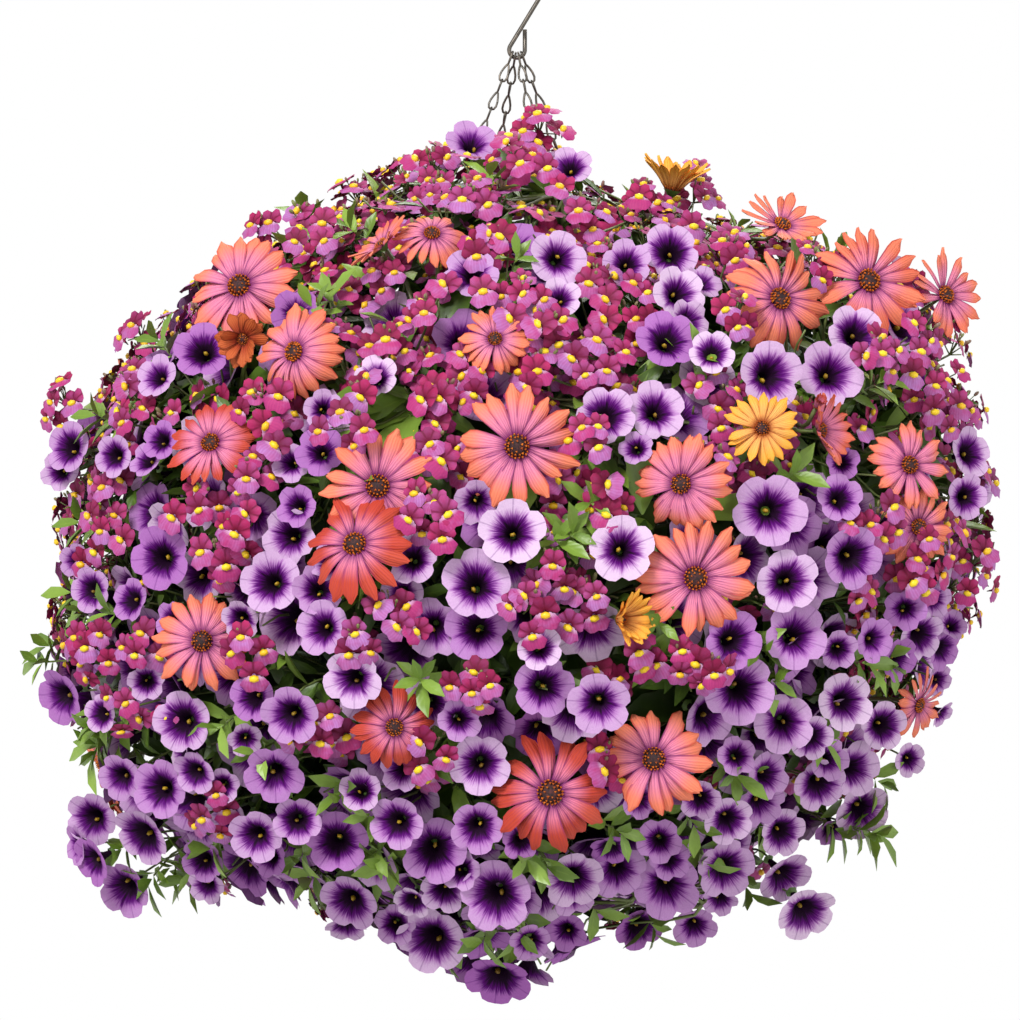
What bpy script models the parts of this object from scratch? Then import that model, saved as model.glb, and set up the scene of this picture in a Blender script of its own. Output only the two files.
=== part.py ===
"""Hanging basket of mixed bedding plants: osteospermum, calibrachoa and nemesia.

Metres, +Z up, front towards -Y. The origin is the hang point, the inner top of the hook's upper
bend. Every plant is one solid: a crown in a hole in the soil, its stems, its leaves and its blooms.
"""

import math
import random

import bmesh
import bpy
from mathutils import Matrix, Vector
from mathutils.bvhtree import BVHTree

NAME = "nemesia_hanging_basket"
CLEARANCE = 0.0003

# The flat view that the blooms were laid out on: 1020 units square, seen from the front.
UNIT = 0.00055
HANG_ACROSS = 517.0
HANG_DOWN = -50.6
VIEW_MIDDLE = 510.0
VIEW_DISTANCE = 2.2

# The ball of flowers: its outline radius every 15 degrees from +X through +Z, and its half depth.
BALL_CENTRE = Vector((0.0, 0.0, -0.334))
BALL_DEPTH = 0.245
BALL_OUTLINE = (
    0.264, 0.266, 0.280, 0.250, 0.222, 0.212, 0.236, 0.228, 0.224, 0.232, 0.246, 0.258,
    0.256, 0.266, 0.270, 0.254, 0.224, 0.226, 0.238, 0.212, 0.220, 0.222, 0.234, 0.248,
)

# Hook
HOOK_WIRE = 0.0012
HOOK_TOP_BEND = 0.0165
HOOK_LOW_BEND = 0.0043
HOOK_LOW_Z = -0.0553
HOOK_LEAN = math.radians(33)
HOOK_TOP_END = math.radians(205)
HOOK_ARM_TOP = -0.0441

# Chain legs
CHAIN_WIRE = 0.0006
CHAIN_PITCH = 0.0168
CHAIN_LOOP_WIDTH = 0.0054
LINK_OVERLAP = 0.00024
LEG_ANGLES = tuple(math.radians(angle) for angle in (205, 115, 295, 25))
LEG_SPREAD = 0.0016

# Pot, with one lug over its rim for each leg
POT_RIM_Z = -0.330
POT_FLOOR_Z = -0.445
POT_RIM_RADIUS = 0.115
POT_FLOOR_RADIUS = 0.080
POT_WALL = 0.0022
POT_LIP = 0.005
POT_LIP_DROP = 0.012
POT_STEPS = 18
DRAIN_RADIUS = 0.005
DRAIN_RING = 0.055
DRAINS = 4
LUG_WIDTH = 0.014
LUG_THICKNESS = 0.003
LUG_TOP = 0.0057
LUG_FOOT = 0.0115
LUG_HOLE = 0.0032
LUG_HOLE_RING = 0.1135
LUG_HOLE_RISE = 0.0063
BAR_RISE = 0.0015

# Soil
SOIL_Z = -0.342
CROWN_RADIUS = 0.006
CROWN_DEPTH = 0.028
CROWN_RISE = 0.012

# Stems and leaves
LIMB = 0.0023
STALK = 0.0010
STEM_MARGIN = 0.0006
MOST_BEND = math.radians(110)
JOINT_SPACING = 0.007
JOINT_WANDER = 0.0003
LEAF_THICKNESS = 0.0016
LEAF_DEPTH = 0.002
# Main stems of a plant: a turn from its own azimuth, then distances from the axis and heights
# over the rim.
LIMBS = (
    (20, ((0.055, 0.06), (0.075, 0.13), (0.085, 0.18))),
    (-15, ((0.110, 0.03), (0.150, 0.06), (0.185, 0.07))),
    (0, ((0.106, 0.020), (0.142, 0.006), (0.164, -0.085), (0.112, -0.185))),
)

RAYS = 7
BROAD_TRUMPET = 0.0162

# Blooms of each kind: shape of the double cone that holds one, in bloom radii.
KINDS = {
    "osteospermum": {"sides": 10, "front": 0.17, "back": 0.34, "facing": 0.45},
    "calibrachoa": {"sides": 10, "front": 0.06, "back": 1.15, "facing": 0.50},
    "nemesia": {"sides": 8, "front": 0.45, "back": 1.0, "facing": 0.60},
}
LIFTS = tuple(sign * 0.003 * step for step in range(9) for sign in (-1, 1))
SHRINKS = (1.0, 0.88, 0.76)

# Blooms that face the front: across, down and width in units of the flat view, then the angles
# in degrees by which a daisy is turned to the right and tipped up, where it is.
DAISIES = (
    (240, 286, 112, 0, 0), (295, 352, 98, 0, 0), (211, 443, 90, 0, 15), (243, 339, 56, 0, -30),
    (432, 234, 78, -10, 15), (382, 245, 70, -35, 30), (495, 339, 70, 0, 10), (378, 486, 113, 0, 0),
    (355, 544, 113, -5, -5), (517, 446, 120, 0, 0), (681, 484, 97, 0, 0), (695, 578, 115, 0, 0),
    (202, 641, 102, 0, 0), (394, 727, 86, 0, 0), (550, 793, 125, 0, -15), (654, 759, 112, 0, 0),
    (782, 225, 83, 0, 10), (779, 299, 108, 0, 0), (868, 281, 111, 0, 0), (945, 295, 88, 10, 0),
    (762, 428, 73, 0, 0), (820, 430, 78, 40, 0), (909, 465, 86, 0, 0), (918, 527, 80, 0, 0),
    (918, 705, 72, 30, -10), (672, 190, 60, 0, 25), (620, 619, 50, 0, 0), (816, 407, 30, 0, 40),
)
TRUMPETS = (
    (472, 141, 52), (570, 166, 45), (558, 258, 57), (471, 273, 55), (670, 251, 58), (679, 293, 55),
    (667, 339, 62), (559, 298, 45), (627, 263, 50), (202, 350, 58), (68, 447, 50), (113, 456, 43),
    (156, 376, 45), (160, 440, 40), (376, 376, 45), (323, 409, 40), (606, 415, 60), (656, 410, 60),
    (771, 375, 66), (831, 373, 66), (857, 334, 60), (712, 352, 45), (971, 452, 50), (967, 497, 45),
    (160, 558, 63), (270, 582, 62), (60, 698, 58), (182, 722, 60), (252, 697, 50), (90, 590, 45),
    (75, 561, 35), (100, 714, 40), (512, 532, 67), (476, 584, 70), (476, 629, 63), (320, 451, 50),
    (412, 559, 50), (322, 628, 55), (402, 594, 45), (346, 443, 40), (622, 549, 66), (540, 648, 45),
    (544, 687, 60), (599, 704, 62), (770, 510, 74), (840, 498, 48), (788, 581, 64), (853, 558, 64),
    (796, 636, 66), (734, 640, 62), (875, 640, 45), (740, 690, 70), (846, 702, 60), (784, 724, 60),
    (884, 726, 50), (922, 636, 50), (812, 738, 45), (352, 680, 60), (430, 703, 55), (290, 716, 60),
    (274, 775, 60), (120, 778, 48), (159, 789, 60), (194, 773, 45), (91, 819, 55), (91, 862, 50),
    (141, 837, 63), (123, 890, 60), (202, 861, 45), (255, 837, 55), (297, 821, 48), (337, 842, 62),
    (349, 903, 60), (396, 823, 55), (434, 851, 68), (480, 765, 60), (477, 828, 55), (496, 896, 73),
    (431, 941, 70), (444, 892, 48), (521, 841, 40), (498, 981, 65), (530, 942, 40), (573, 880, 60),
    (618, 871, 58), (667, 887, 68), (640, 929, 50), (695, 928, 45), (726, 869, 60), (729, 821, 50),
    (760, 805, 52), (820, 785, 54), (856, 769, 56), (863, 812, 57), (783, 833, 50), (786, 878, 58),
    (807, 914, 63), (910, 760, 35),
)
HEADS = (
    (540, 118, 52), (515, 150, 46), (430, 160, 46), (468, 195, 50), (590, 212, 52), (645, 190, 40),
    (700, 190, 50), (490, 240, 44), (262, 225, 46), (300, 215, 44), (384, 271, 46), (425, 313, 40),
    (386, 339, 44), (521, 294, 48), (550, 325, 44), (600, 283, 48), (630, 319, 46), (733, 250, 46),
    (820, 262, 44), (740, 312, 42), (130, 330, 46), (128, 386, 44), (53, 401, 50), (123, 422, 44),
    (600, 355, 50), (540, 365, 44), (470, 362, 44), (441, 397, 44), (362, 396, 44), (260, 405, 46),
    (910, 285, 46), (925, 335, 50), (885, 352, 44), (935, 385, 52), (970, 415, 46), (730, 400, 46),
    (437, 440, 44), (350, 425, 36), (590, 435, 46), (103, 487, 46), (196, 500, 48), (250, 475, 44),
    (560, 480, 46), (606, 500, 44), (425, 510, 46), (100, 535, 48), (236, 532, 44), (215, 560, 40),
    (885, 525, 48), (945, 540, 50), (984, 565, 46), (920, 580, 48), (860, 590, 44), (553, 570, 44),
    (530, 610, 46), (590, 600, 44), (390, 615, 46), (355, 640, 40), (85, 650, 46), (136, 653, 42),
    (245, 645, 44), (638, 651, 42), (680, 662, 44), (475, 688, 48), (126, 710, 44), (325, 730, 42),
    (430, 755, 46), (713, 673, 40), (605, 770, 44), (210, 815, 46),
)
# Share of an even all-round grid that each kind takes where the front view doesn't reach.
GRID_POINTS = 100
FRONT_LIMIT = -0.12
GRID_KINDS = ("calibrachoa", "nemesia", "osteospermum", "calibrachoa", "nemesia", "calibrachoa")
GRID_RADII = {"osteospermum": 0.030, "calibrachoa": 0.0185, "nemesia": 0.0145}
GRID_SEED = 7

# Plants: azimuth of each crown and its distance from the pot's axis.
PLANTS = {
    "osteospermum": (0.040, (-150, -90, -30, 50, 130)),
    "nemesia": (0.066, (-120, -60, 0, 60, 120, 180)),
    "calibrachoa": (0.090, (-155, -100, -45, 15, 85, 150)),
}
PLANT_WORDS = {
    "osteospermum": ("left", "front", "right", "back_right", "back_left"),
    "nemesia": ("front_left", "front_right", "right", "back_right", "back_left", "left"),
    "calibrachoa": ("left", "front", "right", "far_right", "back", "back_left"),
}
LEAVES_PER_PLANT = {"osteospermum": 4, "nemesia": 3, "calibrachoa": 2}
LEAF_SIZES = {
    "osteospermum": (0.052, 0.020), "nemesia": (0.034, 0.011), "calibrachoa": (0.026, 0.012),
}


def outline_radius(angle):
    """Radius of the ball's outline, seen from the front, at an angle from +X."""
    count = len(BALL_OUTLINE)
    place = (angle / math.tau * count) % count
    low = int(place)
    ease = (1 - math.cos(math.pi * (place - low))) / 2
    return BALL_OUTLINE[low % count] * (1 - ease) + BALL_OUTLINE[(low + 1) % count] * ease


def ball_radius(direction):
    """Distance from the ball's centre to its surface along a unit direction."""
    outline = outline_radius(math.atan2(direction.z, direction.x))
    sideways = direction.x * direction.x + direction.z * direction.z
    return BALL_DEPTH + (outline - BALL_DEPTH) * sideways


def view_point(across, down):
    """Point of the plane y = 0 that shows at a place of the flat front view."""
    return Vector(((across - HANG_ACROSS) * UNIT, 0.0, (HANG_DOWN - down) * UNIT))


def eye_point():
    """Where the front view is seen from."""
    return view_point(VIEW_MIDDLE, VIEW_MIDDLE) + Vector((0.0, -VIEW_DISTANCE, 0.0))


def seen_on_ball(across, down):
    """Place on the front of the ball for a place of the flat view, and the way back to the eye."""
    eye = eye_point()
    ray = (view_point(across, down) - eye).normalized()
    best = None
    for step in range(190):
        point = eye + ray * (VIEW_DISTANCE - 0.33 + 0.002 * step)
        offset = point - BALL_CENTRE
        excess = offset.length - ball_radius(offset.normalized())
        if best is None or excess < best[0]:
            best = (excess, point)
        if excess <= 0:
            break
    return best[1], -ray


def double_cone(kind, radius):
    """Ring, front point and back point of the double cone that a bloom fits in, axis +Z."""
    shape = KINDS[kind]
    sides = shape["sides"]
    ring = [
        Vector((math.cos(math.tau * k / sides), math.sin(math.tau * k / sides), 0)) * radius * 1.05
        for k in range(sides)
    ]
    points = ring + [Vector((0, 0, shape["front"] * radius)), Vector((0, 0, -shape["back"] * radius))]
    faces = []
    for k in range(sides):
        after = (k + 1) % sides
        faces.append((k, after, sides))
        faces.append((after, k, sides + 1))
    return points, faces


def facing_matrix(place, axis, roll):
    """Matrix that sets +Z along the axis at a place, with a roll about it."""
    return (
        Matrix.Translation(place)
        @ axis.to_track_quat("Z", "Y").to_matrix().to_4x4()
        @ Matrix.Rotation(roll, 4, "Z")
    )


def tree_of(points, faces, matrix):
    """Search tree of a small solid set at a matrix."""
    return BVHTree.FromPolygons([matrix @ point for point in points], faces)


def listed_blooms():
    """Blooms of the front view: kind, place, axis, the way that they may slide, radius."""
    eye = eye_point()
    rows = [("osteospermum",) + row for row in DAISIES]
    rows += [("calibrachoa",) + row + (0, 0) for row in TRUMPETS]
    rows += [("nemesia",) + row + (0, 0) for row in HEADS]
    blooms = []
    for kind, across, down, width, turn, tip in rows:
        place, slide = seen_on_ball(across, down)
        outward = (place - BALL_CENTRE).normalized()
        facing = KINDS[kind]["facing"]
        axis = (outward * facing + slide * (1 - facing)).normalized()
        axis.rotate(Matrix.Rotation(math.radians(turn), 3, "Z"))
        axis.rotate(Matrix.Rotation(math.radians(-tip), 3, "X"))
        radius = width * UNIT / 2 * (place - eye).length / VIEW_DISTANCE
        blooms.append((kind, place, axis, slide, radius))
    return blooms


def grid_blooms():
    """Blooms of the sides and back, on an even spiral grid over the ball."""
    draw = random.Random(GRID_SEED)
    golden = math.pi * (3 - math.sqrt(5))
    blooms = []
    for k in range(GRID_POINTS):
        height = 1 - 2 * (k + 0.5) / GRID_POINTS
        ring = math.sqrt(1 - height * height)
        outward = Vector((math.cos(golden * k) * ring, math.sin(golden * k) * ring, height))
        kind = GRID_KINDS[draw.randrange(len(GRID_KINDS))]
        lean = Vector((draw.uniform(-1, 1), draw.uniform(-1, 1), draw.uniform(-0.6, 1.2)))
        size = draw.uniform(0.88, 1.1)
        if outward.y < FRONT_LIMIT:
            continue
        place = BALL_CENTRE + outward * (ball_radius(outward) - 0.004)
        axis = (outward + lean * 0.25).normalized()
        blooms.append((kind, place, axis, outward, GRID_RADII[kind] * size))
    order = {"osteospermum": 0, "calibrachoa": 1, "nemesia": 2}
    blooms.sort(key=lambda bloom: order[bloom[0]])
    return blooms


def leg_radial(number):
    """Level unit vector from the pot's axis towards a chain leg's lug."""
    return Vector((math.cos(LEG_ANGLES[number]), math.sin(LEG_ANGLES[number]), 0))


def leg_ends(number):
    """Top and bottom point of a chain leg: in the hook's lower bend and in the pot's lug."""
    top = Vector(((number - 1.5) * LEG_SPREAD, 0, 0))
    top.z = HOOK_LOW_Z - math.sqrt(HOOK_LOW_BEND ** 2 - top.x ** 2) + HOOK_WIRE + CHAIN_WIRE + CLEARANCE
    hole = leg_radial(number) * LUG_HOLE_RING + Vector((0, 0, POT_RIM_Z + LUG_HOLE_RISE))
    return top, hole + (top - hole).normalized() * BAR_RISE


def lug_matrix(number):
    """Matrix of a leg's lug: its hole at the origin and bored along X, Z up along the leg."""
    top, bottom = leg_ends(number)
    up = (top - bottom).normalized()
    radial = leg_radial(number)
    across = (radial - up * radial.dot(up)).normalized()
    matrix = Matrix((across, up.cross(across), up)).transposed().to_4x4()
    matrix.translation = bottom - up * BAR_RISE
    return matrix


def leg_guard(number):
    """Search tree of a slim four-sided bar round a chain leg."""
    top, bottom = leg_ends(number)
    along = (bottom - top).normalized()
    matrix = facing_matrix(top, along, 0)
    half = CHAIN_LOOP_WIDTH * 0.75
    length = (bottom - top).length
    corners = [Vector((half * math.cos(a), half * math.sin(a), 0)) for a in (0, 1.57, 3.14, 4.71)]
    points = corners + [corner + Vector((0, 0, length)) for corner in corners]
    faces = [(k, (k + 1) % 4, 4 + (k + 1) % 4, 4 + k) for k in range(4)]
    return tree_of(points, faces, matrix)


def settle(blooms):
    """Slide, and at last shrink, each bloom until its double cone is clear of those before it."""
    guards = [leg_guard(number) for number in range(len(LEG_ANGLES))]
    placed = []
    for kind, place, axis, slide, radius in blooms:
        done = False
        for shrink in SHRINKS:
            size = radius * shrink
            points, faces = double_cone(kind, size + 0.0004)
            reach = size * 1.1
            for lift in LIFTS:
                spot = place + slide * lift
                near = [
                    other for other in placed
                    if (other[1] - spot).length < reach + other[3] * 1.1
                ]
                tree = tree_of(points, faces, facing_matrix(spot, axis, 0))
                if any(tree.overlap(other[4]) for other in near):
                    continue
                if any(tree.overlap(guard) for guard in guards):
                    continue
                placed.append((kind, spot, axis, size, tree))
                done = True
                break
            if done:
                break
    return [(kind, spot, axis, size) for kind, spot, axis, size, _ in placed]


def material(name, colour, roughness, metallic=0.0):
    """Principled material with one colour."""
    made = bpy.data.materials.new(name)
    made.use_nodes = True
    shader = made.node_tree.nodes["Principled BSDF"]
    shader.inputs["Base Color"].default_value = (*colour, 1)
    shader.inputs["Roughness"].default_value = roughness
    shader.inputs["Metallic"].default_value = metallic
    return made


def new_object(name, mesh, collection):
    """Object of a mesh, linked to a collection."""
    made = bpy.data.objects.new(name, mesh)
    collection.objects.link(made)
    return made


def object_from(bm, name, collection):
    """Object of a mesh under construction, which is freed."""
    mesh = bpy.data.meshes.new(name)
    bm.to_mesh(mesh)
    bm.free()
    return new_object(name, mesh, collection)


def evaluated_mesh(thing):
    """Mesh of an object with its modifiers applied."""
    graph = bpy.context.evaluated_depsgraph_get()
    return bpy.data.meshes.new_from_object(thing.evaluated_get(graph))


def keep_main_body(mesh):
    """Drop loose scraps and the walls of sealed hollows: all but the largest connected body."""
    bm = bmesh.new()
    bm.from_mesh(mesh)
    seen = set()
    bodies = []
    for start in bm.verts:
        if start in seen:
            continue
        seen.add(start)
        body = [start]
        for vert in body:
            for edge in vert.link_edges:
                other = edge.other_vert(vert)
                if other not in seen:
                    seen.add(other)
                    body.append(other)
        bodies.append(body)
    bodies.sort(key=len, reverse=True)
    spare = [vert for body in bodies[1:] for vert in body]
    bmesh.ops.delete(bm, geom=spare, context="VERTS")
    bmesh.ops.triangulate(bm, faces=bm.faces)
    bm.to_mesh(mesh)
    bm.free()


def fuse(name, solids, parts, finish):
    """Join a list of solids in one object by a Boolean union on their collection."""
    first = solids[0]
    first.name = name
    repeats = bpy.data.collections.new(name + "_repeats")
    bpy.context.scene.collection.children.link(repeats)
    for solid in solids[1:]:
        repeats.objects.link(solid)
        parts.objects.unlink(solid)
    join = first.modifiers.new("join", "BOOLEAN")
    join.operation = "UNION"
    join.operand_type = "COLLECTION"
    join.collection = repeats
    join.solver = "EXACT"
    mesh = evaluated_mesh(first)
    first.modifiers.remove(join)
    first.data = mesh
    for solid in list(repeats.objects):
        bpy.data.objects.remove(solid)
    bpy.data.collections.remove(repeats)
    keep_main_body(mesh)
    mesh.materials.clear()
    mesh.materials.append(finish)
    return first


def tube_object(name, points, radius, parts, resolution=2):
    """Wire along a list of points, as a mesh with closed ends."""
    curve = bpy.data.curves.new(name, "CURVE")
    curve.dimensions = "3D"
    curve.bevel_depth = radius
    curve.bevel_resolution = resolution
    curve.use_fill_caps = True
    spline = curve.splines.new("POLY")
    spline.points.add(len(points) - 1)
    for spot, point in zip(spline.points, points):
        spot.co = (*point, 1)
    wire = new_object(name + "_curve", curve, parts)
    mesh = evaluated_mesh(wire)
    bpy.data.objects.remove(wire)
    bm = bmesh.new()
    bm.from_mesh(mesh)
    bmesh.ops.remove_doubles(bm, verts=bm.verts, dist=0.00001)
    bmesh.ops.recalc_face_normals(bm, faces=bm.faces)
    bmesh.ops.triangulate(bm, faces=bm.faces)
    bm.to_mesh(mesh)
    bm.free()
    return new_object(name, mesh, parts)


def arc_points(centre_z, radius, start, end, count):
    """Points of an arc in the XZ plane about the hook's plumb line."""
    return [
        (
            radius * math.cos(start + (end - start) * k / count),
            0.0,
            centre_z + radius * math.sin(start + (end - start) * k / count),
        )
        for k in range(count + 1)
    ]


def build_hook(parts, finish):
    """S hook of round wire: wide open bend on top, narrow bend below that holds the chains."""
    top_centre = HOOK_WIRE - HOOK_TOP_BEND
    upper = arc_points(top_centre, HOOK_TOP_BEND, HOOK_TOP_END, -HOOK_LEAN, 10)
    lower = arc_points(HOOK_LOW_Z, HOOK_LOW_BEND, math.pi - HOOK_LEAN * 0.9, math.tau, 7)
    arm = [(HOOK_LOW_BEND, 0.0, HOOK_ARM_TOP)]
    hook = tube_object("hook", upper + lower + arm, HOOK_WIRE, parts)
    hook.data.materials.append(finish)
    hook.data.shade_smooth()
    return hook


def three_corners(bm, point, along, side, radius):
    """Three corners of a slim wire's section at a point."""
    side = (side - along * side.dot(along)).normalized()
    other = along.cross(side)
    return [
        bm.verts.new(point + (side * math.cos(a) + other * math.sin(a)) * radius)
        for a in (0, math.tau / 3, 2 * math.tau / 3)
    ]


def join_corners(bm, low, high):
    """Three sides of a slim wire between two sections."""
    for k in range(3):
        after = (k + 1) % 3
        bm.faces.new((low[k], low[after], high[after]))
        bm.faces.new((low[k], high[after], high[k]))


def link_object(start, along, across, length, parts):
    """Chain link: one closed wire, wide one way at its top and the other way at its foot."""
    half = across * CHAIN_LOOP_WIDTH / 2
    crossed = along.cross(across) * CHAIN_LOOP_WIDTH / 2
    foot = start + along * length
    path = [start + half, start - half, foot - crossed, foot + crossed]
    bm = bmesh.new()
    sections = []
    for k, point in enumerate(path):
        tangent = (path[(k + 1) % 4] - path[k - 1]).normalized()
        sections.append(three_corners(bm, point, tangent, point - (start + foot) / 2, CHAIN_WIRE * 1.25))
    for k in range(4):
        join_corners(bm, sections[k], sections[(k + 1) % 4])
    bmesh.ops.recalc_face_normals(bm, faces=bm.faces)
    return object_from(bm, "link", parts)


def build_leg(number, word, parts, finish):
    """Chain leg: links with a quarter twist, each hooked through the one above."""
    top, bottom = leg_ends(number)
    along = (bottom - top).normalized()
    links = round((bottom - top).length / CHAIN_PITCH)
    pitch = (bottom - top).length / links
    first = Vector((0, 1, 0))
    first = (first - along * first.dot(along)).normalized()
    radial = leg_radial(number)
    last = (radial - along * radial.dot(along)).normalized()
    crossed = along.cross(first)
    twist = math.atan2(crossed.cross(last).dot(along), crossed.dot(last))
    if abs(twist) > math.pi / 2:
        twist -= math.copysign(math.pi, twist)
    solids = []
    for link in range(links):
        turn = Matrix.Rotation(twist * link / (links - 1), 3, along)
        start = top + along * (pitch * link)
        solids.append(link_object(start, along, turn @ first, pitch + LINK_OVERLAP, parts))
    return fuse("chain_leg_" + word, solids, parts, finish)


def turned_object(name, profile, parts):
    """Solid turned about Z from an outline that ends on the axis."""
    bm = bmesh.new()
    verts = [bm.verts.new((x, 0, z)) for x, z in profile]
    for low, high in zip(verts, verts[1:]):
        bm.edges.new((low, high))
    turned = object_from(bm, name, parts)
    screw = turned.modifiers.new("turn", "SCREW")
    screw.steps = POT_STEPS
    screw.render_steps = POT_STEPS
    screw.use_merge_vertices = True
    screw.merge_threshold = 0.0001
    screw.use_smooth_shade = False
    return turned


def cylinder_object(name, radius, low, high, place, parts, sides=8, axis=Vector((0, 0, 1))):
    """Cylinder between two heights along an axis through a place."""
    bm = bmesh.new()
    bmesh.ops.create_cone(
        bm, cap_ends=True, segments=sides, radius1=radius, radius2=radius, depth=high - low,
    )
    made = object_from(bm, name, parts)
    middle = place + axis * ((low + high) / 2)
    made.data.transform(facing_matrix(middle, axis, 0))
    return made


def as_cutter(solid, parts, cutters):
    """Move a helper solid to the cutters' collection and hide it from the render."""
    parts.objects.unlink(solid)
    cutters.objects.link(solid)
    solid.hide_render = True
    solid.display_type = "WIRE"
    return solid


def cut(target, cutter):
    """Boolean difference of one cutter."""
    hole = target.modifiers.new("cut_" + cutter.name, "BOOLEAN")
    hole.operation = "DIFFERENCE"
    hole.object = cutter
    hole.solver = "EXACT"


def build_pot(parts, cutters, finish):
    """Moulded pot with a rolled lip, drain holes and a drilled lug for each chain leg."""
    inner_rim = POT_RIM_RADIUS - POT_WALL
    profile = (
        (0, POT_FLOOR_Z + POT_WALL),
        (POT_FLOOR_RADIUS - POT_WALL, POT_FLOOR_Z + POT_WALL),
        (inner_rim, POT_RIM_Z),
        (POT_RIM_RADIUS + POT_LIP, POT_RIM_Z),
        (POT_RIM_RADIUS + POT_LIP, POT_RIM_Z - POT_LIP_DROP),
        (POT_RIM_RADIUS - POT_WALL / 2, POT_RIM_Z - POT_LIP_DROP),
        (POT_FLOOR_RADIUS, POT_FLOOR_Z),
        (0, POT_FLOOR_Z),
    )
    body = turned_object("pot", profile, parts)
    body.data = evaluated_mesh(body)
    body.modifiers.clear()
    solids = [body]
    for number in range(len(LEG_ANGLES)):
        bm = bmesh.new()
        bmesh.ops.create_cube(bm, size=1)
        bmesh.ops.scale(bm, vec=(LUG_THICKNESS, LUG_WIDTH, LUG_TOP + LUG_FOOT), verts=bm.verts)
        bmesh.ops.translate(bm, vec=(0, 0, (LUG_TOP - LUG_FOOT) / 2), verts=bm.verts)
        bm.transform(lug_matrix(number))
        solids.append(object_from(bm, "lug", parts))
    pot = fuse("hanging_pot", solids, parts, finish)
    for number in range(len(LEG_ANGLES)):
        matrix = lug_matrix(number)
        bored = matrix.to_3x3() @ Vector((1, 0, 0))
        reach = LUG_THICKNESS
        hole = cylinder_object(
            "lug_hole", LUG_HOLE, -reach, reach, matrix.translation, parts, 10, bored,
        )
        cut(pot, as_cutter(hole, parts, cutters))
    for number in range(DRAINS):
        angle = math.tau * (number + 0.5) / DRAINS
        place = Vector((DRAIN_RING * math.cos(angle), DRAIN_RING * math.sin(angle), POT_FLOOR_Z))
        hole = cylinder_object("drain", DRAIN_RADIUS, -0.005, 0.008, place, parts, 6)
        cut(pot, as_cutter(hole, parts, cutters))
    return pot


def wall_radius(z):
    """Inner radius of the pot at a height."""
    share = (z - POT_FLOOR_Z) / (POT_RIM_Z - POT_FLOOR_Z)
    return POT_FLOOR_RADIUS + (POT_RIM_RADIUS - POT_FLOOR_RADIUS) * share - POT_WALL


def plant_rows():
    """Kind, word and crown place of every plant."""
    for kind, (ring, angles) in PLANTS.items():
        for word, angle in zip(PLANT_WORDS[kind], angles):
            turn = math.radians(angle)
            yield kind, word, Vector((ring * math.cos(turn), ring * math.sin(turn), SOIL_Z))


def build_soil(parts, cutters, finish):
    """Soil that fills the pot, with a plain hole for each crown."""
    low = POT_FLOOR_Z + POT_WALL + CLEARANCE
    gap = CLEARANCE * 3
    profile = (
        (0, SOIL_Z + 0.004),
        (0.06, SOIL_Z + 0.003),
        (wall_radius(SOIL_Z) - gap, SOIL_Z),
        (wall_radius(low) - gap, low),
        (0, low),
    )
    soil = turned_object("soil", profile, parts)
    for _, _, crown in plant_rows():
        hole = cylinder_object("crown_hole", CROWN_RADIUS, -CROWN_DEPTH, 0.02, crown, parts, 5)
        cut(soil, as_cutter(hole, parts, cutters))
    soil.data.materials.append(finish)
    return soil


def ring_scale(vert, count, share):
    """Pull in every other corner of a ring of corners to make notches between lobes."""
    place = math.atan2(vert.co.y, vert.co.x) / math.tau * count
    if round(place - 0.5) % 2:
        vert.co *= share


def daisy_mesh(radius):
    """Daisy: a ring of blunt rays round a raised disc, with a flat back."""
    bm = bmesh.new()
    height = 0.05 * radius
    bmesh.ops.create_cone(
        bm, cap_ends=True, segments=RAYS, radius1=0.62 * radius, radius2=0.24 * radius, depth=height,
    )
    rim = [edge for edge in bm.edges if all(vert.co.z < 0 for vert in edge.verts)]
    bmesh.ops.subdivide_edges(bm, edges=rim, cuts=2)
    for vert in bm.verts:
        flat = math.hypot(vert.co.x, vert.co.y)
        if vert.co.z < 0 and flat < 0.615 * radius:
            vert.co.x *= radius / flat
            vert.co.y *= radius / flat
    front = max(bm.faces, key=lambda face: face.calc_center_median().z)
    back = min(bm.faces, key=lambda face: face.calc_center_median().z)
    for cap, rise in ((front, 0.13), (back, -0.3)):
        fan = bmesh.ops.poke(bm, faces=[cap])
        fan["verts"][0].co.z = rise * radius
    bmesh.ops.translate(bm, vec=(0, 0, height / 2), verts=bm.verts)
    return bm


def lobed_mesh(radius, corners, notch, front):
    """Double cone with a notched rim: lobes round a sunk throat or a raised middle."""
    bm = bmesh.new()
    bmesh.ops.create_uvsphere(bm, u_segments=corners, v_segments=2, radius=radius)
    for vert in bm.verts:
        if vert.co.z > radius / 2:
            vert.co.z = front * radius
        elif vert.co.z > -radius / 2:
            ring_scale(vert, corners, notch)
    return bm


def bloom_mesh(kind, radius):
    """Solid of one bloom, axis +Z, its lowest corner the point of its back."""
    if kind == "osteospermum":
        return daisy_mesh(radius)
    if kind == "nemesia":
        return lobed_mesh(radius, 6, 0.7, 0.34)
    if radius > BROAD_TRUMPET:
        return lobed_mesh(radius, 10, 0.84, -0.38)
    return lobed_mesh(radius, 5, 1.0, -0.38)


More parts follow.
